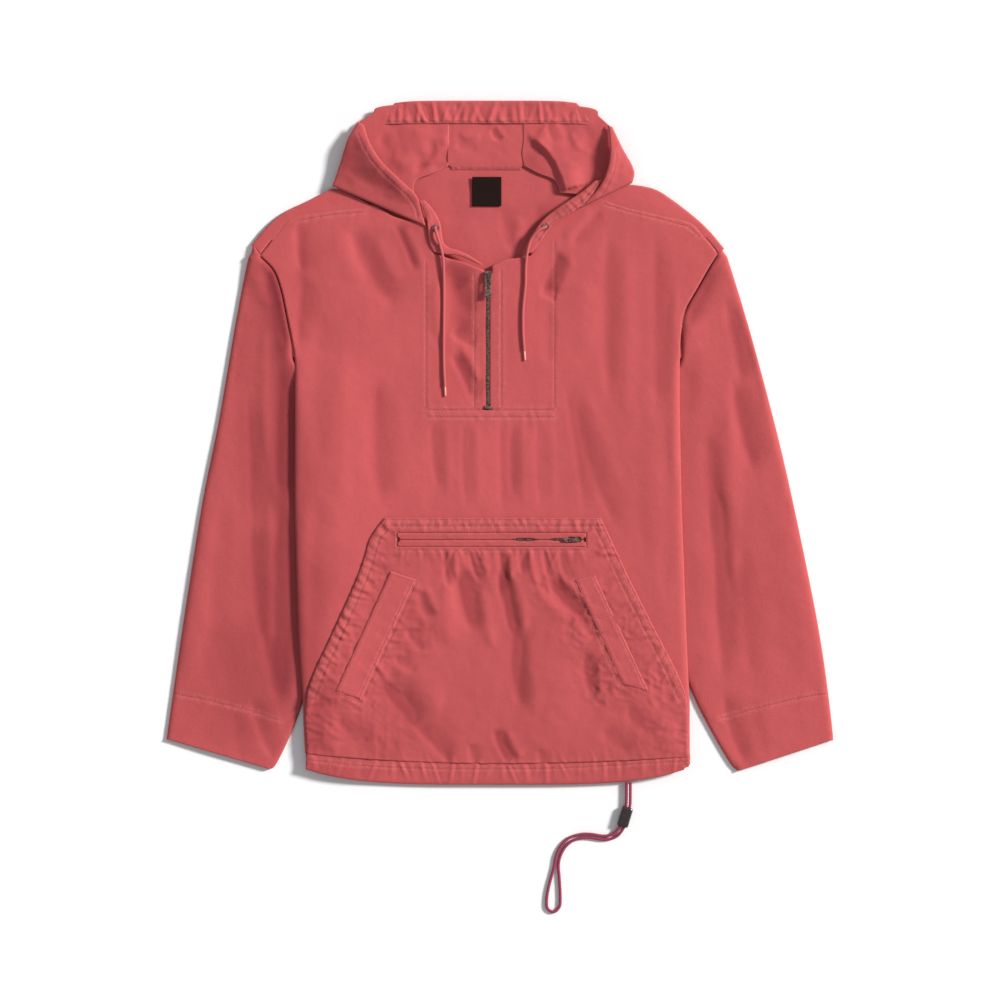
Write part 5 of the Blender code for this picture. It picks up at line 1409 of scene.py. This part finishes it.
# the hood's paintedShades rows are painted shade
hoodPieces = [
    {"name": "hoodFloor_left", "node": "hood_left", "flap": False, "finish": insideCotton,
     "cut": (0.15, 0.13), "seed": 51,
     "creases": [(-94, 330, -62, 372, 6, 2.2, 6, 0.3), (-84, 326, -52, 364, 6, -1.8, 6, 0.4),
                 (-106, 322, -80, 366, 8, -1.6, 7, 0.3), (-130, 350, -96, 330, 10, 1.4, 4, 0),
                 (-146, 372, -110, 344, 11, -1.5, 5, 0.2), (-104, 380, -88, 340, 9, 1.2, -3, 0),
                 (-128, 392, -118, 362, 8, -1.0, 2, 0)],
     "paintedShades": [(-140, 372, -108, 318, 13, 0.26, 4, 0), (-92, 332, -60, 366, 6, 0.26, 6, 0)]},
    {"name": "hoodFloor_right", "node": "hood_right", "flap": False, "finish": insideCotton,
     "cut": (0.16, 0.13), "seed": 53,
     "creases": [(34, 372, 62, 348, 5, 2.0, 3, 0.3), (70, 386, 86, 352, 7, -1.7, -4, 0.4),
                 (58, 386, 66, 358, 5, -1.8, 2, 0.5), (84, 374, 100, 350, 6, 1.6, 2, 0),
                 (96, 384, 112, 344, 9, -1.3, -4, 0.3), (88, 340, 92, 300, 12, 1.8, 4, 0),
                 (112, 350, 104, 300, 10, -1.3, 4, 0.2)],
     "step over": {"line": [(36, 366), (43, 361), (55, 350), (65, 335.5), (73, 317.5), (77, 303)],
                   "rise": 5.6, "reach": 30.0, "side": -1},
     "paintedShades": [(30, 352, 62, 292, 18, 0.40, 4, 0), (32, 370, 52, 344, 8, 0.24, 0, 0),
                (120, 372, 122, 316, 9, 0.36, 0, 0), (58, 390, 64, 366, 5, 0.2, 0, 0),
                (84, 384, 90, 318, 24, 0.24, 0, 0)]},
    {"name": "hoodCentre", "node": "hood_centre", "finish": insideCotton, "cut": (0.12, 0.09), "seed": 55,
     "lift": -0.3, "letOut": lambda x, y: 0.8 if y < 331 else (5.0 if y < 400 else 0.0),
     "swell": lambda x, y, d: -1.6 * easeIn((338 - y) / 12.0),
     "creases": [(-10, 378, 2, 362, 4, -1.9, 3, 0.6), (-4, 382, 8, 366, 4, 1.1, 2, 0),
                 (-50, 372, -20, 368, 6, 1.2, 3, 0), (-54, 360, -26, 352, 6, -1.0, 2, 0.2)],
     "seams": [{"line": [(-57, 329.5), (24, 329.5)], "groove": 0.3, "dark": 0.4, "wear": 0.6,
                "pucker": {"gap": 13.0, "reach": 6.0, "width": 2.6, "rise": 0.4}}]},
    {"name": "hoodFlap_left", "node": "hood_left", "flap": True, "finish": hoodCotton, "cut": (0.085, 0.13),
     "seed": 57,
     "creases": [(-160, 360, -104, 294, 5, -1.6, -6, 0.5), (-168, 352, -112, 290, 6, 1.1, -6, 0),
                 (-186, 330, -120, 300, 8, -1.3, 4, 0.3), (-178, 350, -140, 312, 9, 0.9, -3, 0),
                 (-176, 366, -164, 330, 8, -1.0, 0, 0.2), (-150, 300, -100, 284, 6, -1.0, 2, 0.3)],
     "paintedShades": [(-176, 380, -180, 300, 20, 0.45, 0, 0), (-160, 340, -104, 280, 20, 0.30, 0, 0)]},
    {"name": "hoodFlap_right", "node": "hood_right", "flap": True, "finish": hoodCotton, "cut": (0.05, 0.11),
     "seed": 59,
     "creases": [(146, 362, 138, 320, 6, -0.9, -3, 0.3), (152, 340, 128, 306, 6, 1.0, -3, 0),
                 (148, 326, 112, 296, 6, -1.1, -3, 0.3), (136, 312, 96, 286, 5, 0.9, -3, 0)]},
]
for piece in hoodPieces:
    piece.update({"step": 2.1, "wander": 0.8, "wanderSize": 30.0, "soft": 5.5, "cell": 3.0, "corner": 50.0,
                  "edgeRoll": 2.2 if piece.get("flap") else 0.3,
                  "edgeReach": 3.6 if piece.get("flap") else 1.6})
    if piece.get("flap") is False:
        piece["lift"] = 0.4
    if piece.get("flap"):
        rim = leftRim if piece["node"] == "hood_left" else rightRim
        piece["swell"] = hoodLift
        inward = -1 if piece["node"] == "hood_left" else 1
        piece["seams"] = [{"line": offsetLine(rim[1:-1], inward * 8.5), "groove": 0.4, "dark": 0.3,
                           "wear": 0.6, "pucker": {"gap": 13.0, "reach": 7.0, "width": 3.0, "rise": 0.5}}]
    over = piece.pop("step over", None)
    if over:
        def foldOver(x, y, distance, over=over):
            run, aside, length = alongLine(over["line"], x, y)
            side = aside * over["side"]
            ends = easeIn(run / 14.0) * (run < length - 0.01)
            fading = np.exp(-(np.clip(side, 0, None) / over["reach"]) ** 2)
            return over["rise"] * ends / (1 + np.exp(-side / 0.55)) * fading
        piece["swell"] = foldOver
    flap = piece.pop("flap", None)
    number = 0 if flap is None else hoodGroup(piece["node"], flap)
    if flap is False:
        piece["replaces"] = False
    layCloth(piece, number)


def casingEnds(x, y, distance):
    # the crown band sinks into the hood's sides at its two slanted ends
    left = np.abs(alongLine([(-150, 380.5), (-126, 408)], x, y)[1])
    right = np.abs(alongLine([(120, 380.5), (92, 408)], x, y)[1])
    return -2.3 * (1 - easeIn(left / 16.0)) - 2.3 * (1 - easeIn(right / 16.0))


layCloth({"name": "hoodCasing", "node": "hood_casing", "finish": insideCotton, "step": 1.9,
          "cut": (0.28, 0.03), "seed": 61, "wander": 0.5, "wanderSize": 18.0, "edgeRoll": 0.5,
          "edgeReach": 1.8, "soft": 4.5, "cell": 3.0, "swell": casingEnds,
          "seams": [{"line": [(-136, 385.4), (108, 385.4)], "groove": 0.4, "dark": 0.4, "wear": 0.6,
                     "pucker": {"gap": 11.0, "reach": 24.0, "width": 3.2, "rise": 1.9, "side": -1}}],
          "creases": [(-118, 408, -112, 388, 5, -1.3, 0, 0.3), (-92, 408, -86, 386, 4, -1.5, 0, 0.4),
                      (-52, 408, -50, 386, 4, -1.3, 0, 0.4), (2, 408, 4, 386, 4, -1.2, 0, 0.4),
                      (30, 408, 34, 386, 5, -1.5, 0, 0.4), (58, 408, 66, 386, 4, -1.5, 0, 0.4),
                      (78, 406, 84, 388, 5, -1.2, 0, 0.3)]})
casingShape = {"left": {"outline": [(-92, 279.7), (-88, 270), (-86.6, 259), (-85.5, 248), (-83.9, 237.1),
                                    (-79, 228.5), (-65.7, 226), (-50, 224.5), (-36.8, 219.4), (-24, 213.5),
                                    (-20.5, 213.7), (-27, 218.5), (-38, 225.5), (-50, 231), (-61, 234.5),
                                    (-67, 240), (-69.5, 250), (-71, 262), (-77, 275), (-85.5, 286),
                                    (-90.5, 291), (-97, 289)]},
               "right": {}}
for side, gap in (("left", 15.0), ("right", 8.0)):
    line = offsetLine({"left": [(-95, 286), (-86.5, 268), (-84, 248), (-77, 231)],
                       "right": [(121, 312), (104, 290), (82, 273), (61, 259), (48, 240)]}[side],
                      2.0 if side == "left" else -3.0)
    layCloth({"name": "hoodCasing_" + side, "node": "hood_casing_" + side, "finish": insideCotton,
              "step": 1.7, "cut": (0.035, 0.1), "seed": 63, "wander": 0.4, "wanderSize": 16.0,
              "edgeRoll": 0.9, "edgeReach": 2.0, "soft": 4.0, "cell": 2.5, "lift": 0.3, **casingShape[side],
              "seams": [{"line": line, "groove": 0.35, "dark": 0.4, "wear": 0.9,
                         "pucker": {"gap": gap, "reach": 9.0, "width": 2.4,
                                    "rise": 0.8 if side == "right" else 0.4}}]})


# layers folded away under the hood
def foldedPad(name, node, layers):
    points, triangles = risingFaces(node)[0]
    outer = easedLoop(edgeLoops(points, triangles)[0], 5.0, 60.0)
    low, high = (c.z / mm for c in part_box(node))
    thick = (high - low) / layers
    bm = bmesh.new()
    rings = []
    middle = sum(outer, Vector((0, 0))) / len(outer)
    for layer in range(layers):
        for share, inset in ((0.04, 1.6), (0.3, 0.1), (0.7, 0.1), (0.96, 1.6)):
            rows = []
            for k, p in enumerate(outer):
                aside = (p - middle).normalized()
                uneven = 1.3 * noise.noise(Vector((k * 0.16, layer * 3.1, 0.5)))
                at = p - aside * (inset + 1.2 + uneven)
                rows.append(bm.verts.new((at.x * mm, at.y * mm, (low + (layer + share) * thick) * mm)))
            rings.append(rows)
    for a, b in zip(rings, rings[1:]):
        for k in range(len(outer)):
            n = (k + 1) % len(outer)
            bm.faces.new((a[k], a[n], b[n], b[k]))
    bm.faces.new(rings[0][::-1])
    bm.faces.new(rings[-1])
    bmesh.ops.recalc_face_normals(bm, faces=bm.faces[:])
    mesh = bpy.data.meshes.new(name)
    bm.to_mesh(mesh)
    bm.free()
    made = asPiece(name, mesh, hoodCotton)
    mesh.set_sharp_from_angle(angle=math.radians(60))
    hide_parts(node)


foldedPad("hoodFolded", "hood_fold", 4)
print("hood laid")


# front zip and pocket zip
zips = {"tooth": 1.35, "pitch": 1.9, "height": 1.9, "bevel": 0.28, "sink": {"X": 0.0, "Y": 0.7},
        "aside": 0.16, "long": 0.52}          # a tooth's place and length as shares of the chain's width


def zipTeeth(name, node, axis):
    # one tooth modelled on each side of the chain, then an array of each along it
    low, high = (Vector(corner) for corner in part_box(node))
    run = Vector((0, 1, 0)) if axis == "Y" else Vector((1, 0, 0))
    across = Vector((1, 0, 0)) if axis == "Y" else Vector((0, -1, 0))
    wide = abs((high - low).dot(across))
    pitch, tall = zips["pitch"] * mm, zips["height"] * mm
    middle = (low + high) / 2
    sides = []
    for side in (-1, 1):
        start = 0.5 if side < 0 else 1.0
        spot = middle + across * (side * zips["aside"] * wide)
        spot = spot - run * ((high - low).dot(run) / 2 - start * pitch)
        spot.z = high.z - tall / 2 - zips["sink"][axis] * mm
        size = across * (wide * zips["long"]) + run * (zips["tooth"] * mm)
        bpy.ops.object.select_all(action="DESELECT")
        bpy.ops.mesh.primitive_cube_add(size=1.0, location=spot, scale=(abs(size.x), abs(size.y), tall))
        tooth = bpy.context.active_object
        bpy.ops.object.transform_apply(location=True, rotation=True, scale=True)
        bpy.ops.object.mode_set(mode="EDIT")
        bpy.ops.mesh.select_all(action="SELECT")
        bpy.ops.mesh.bevel(offset=zips["bevel"] * mm, segments=1, affect="EDGES")
        bpy.ops.object.mode_set(mode="OBJECT")
        array = tooth.modifiers.new("chain", "ARRAY")
        array.count = int((high - low).dot(run) / pitch - start + 0.4)
        array.use_relative_offset = False
        array.use_constant_offset = True
        array.constant_offset_displace = run * pitch
        bpy.ops.object.modifier_apply(modifier="chain")
        sides.append(tooth)
    bpy.ops.object.select_all(action="DESELECT")
    for tooth in sides:
        tooth.select_set(True)
    bpy.context.view_layer.objects.active = sides[0]
    bpy.ops.object.join()
    made = bpy.context.active_object
    made.name = name
    made.data.materials.clear()
    made.data.materials.append(brass)
    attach(made, "garment")
    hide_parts(node)


zipTeeth("frontZipTeeth", "front_zip_chain", "Y")
zipTeeth("pocketZipTeeth", "pocket_zip_chain", "X")
layCloth({"name": "frontZipTape", "node": "front_zip_tape", "finish": tapeWeave, "step": 2.0,
          "cut": (0.024, 0.172), "slot": "zip_tape", "seed": 71, "wander": 0.1, "edgeRoll": 0.2,
          "edgeReach": 0.8, "wall": 0.8, "soft": 4.0, "cell": 2.5, "edgeCalm": 2.0})
for node in ("front_zip_slider", "front_zip_pull", "front_zip_stop", "pocket_zip_slider", "pocket_zip_pull",
             "eyelet_left", "eyelet_right"):
    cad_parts[node].data.materials.clear()
    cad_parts[node].data.materials.append(brass)
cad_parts["cord_stop"].data.materials.clear()
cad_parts["cord_stop"].data.materials.append(stopPlastic)
print("zips made")


# stitching
sewStitches("stitchesZip", [[(-30, 203), (-30, 41)], [(2, 208), (2, 41)]], ["bodyFront"])
sewStitches("stitchesPlacket", [[(-88.3, 39.5), (66.0, 39.5)], [(-88.3, 31.0), (66.0, 31.0)],
                                [(-88.5, 218), (-88.3, 41)], [(66.3, 245), (66.0, 41)]], ["bodyFront"])
sewStitches("stitchesShoulders", [[(-161, 277), (-205, 273.5), (-247, 266)],
                                  [(125, 287), (150, 279), (190, 269.5), (226, 260), (241, 247)]],
            ["bodyFront"])
sewStitches("stitchesPocket", [[(-139, -92.2), (122, -92.2)], [(-140, -99.6), (124, -99.6)],
                               offsetLine(pocketSides["left"], 2.2), offsetLine(pocketSides["left"], 11.0),
                               offsetLine(pocketSides["right"], -2.2),
                               offsetLine(pocketSides["right"], -11.0),
                               [(-125, -106), (105, -106)], [(-125, -127), (105, -127)],
                               [(-125.5, -106), (-125.5, -127)], [(105.5, -106), (105.5, -127)]],
            ["kangarooPocket"])
for side, (a, b, c, d) in welts.items():
    sewStitches("stitchesWelt_" + side, [offsetLine([a, d], 2.0), offsetLine([b, c], -2.0),
                                         offsetLine([a, b], -2.5), offsetLine([d, c], 2.5)],
                ["handWelt_" + side, "kangarooPocket"])
sewStitches("stitchesHem", [[(-229, -380), (-180, -386.5), (-120, -390), (-60, -391.5), (0, -391.5),
                             (60, -391), (120, -388.5), (180, -384), (225, -382)]], ["hemCasingFront"])
sewStitches("stitchesCuffs", [[(-393, -300.5), (-350, -309), (-300, -322), (-266, -333)],
                              [(393, -300.5), (350, -308), (300, -321), (266, -331)]],
            ["sleeveLeft", "sleeveRight"])
sewStitches("stitchesHood", [[(-136, 385.4), (108, 385.4)], [(-57, 329.5), (24, 329.5)]],
            ["hoodCasing", "hoodCentre", "hoodFloor_left", "hoodFloor_right"])
print("stitches sewn")


# floor
bpy.ops.object.select_all(action="DESELECT")
bpy.ops.mesh.primitive_plane_add(size=14.0, location=(0, 0, -0.0004))
floor = bpy.context.active_object
floor.name = "floor"
floor.data.materials.append(floorFinish.material)
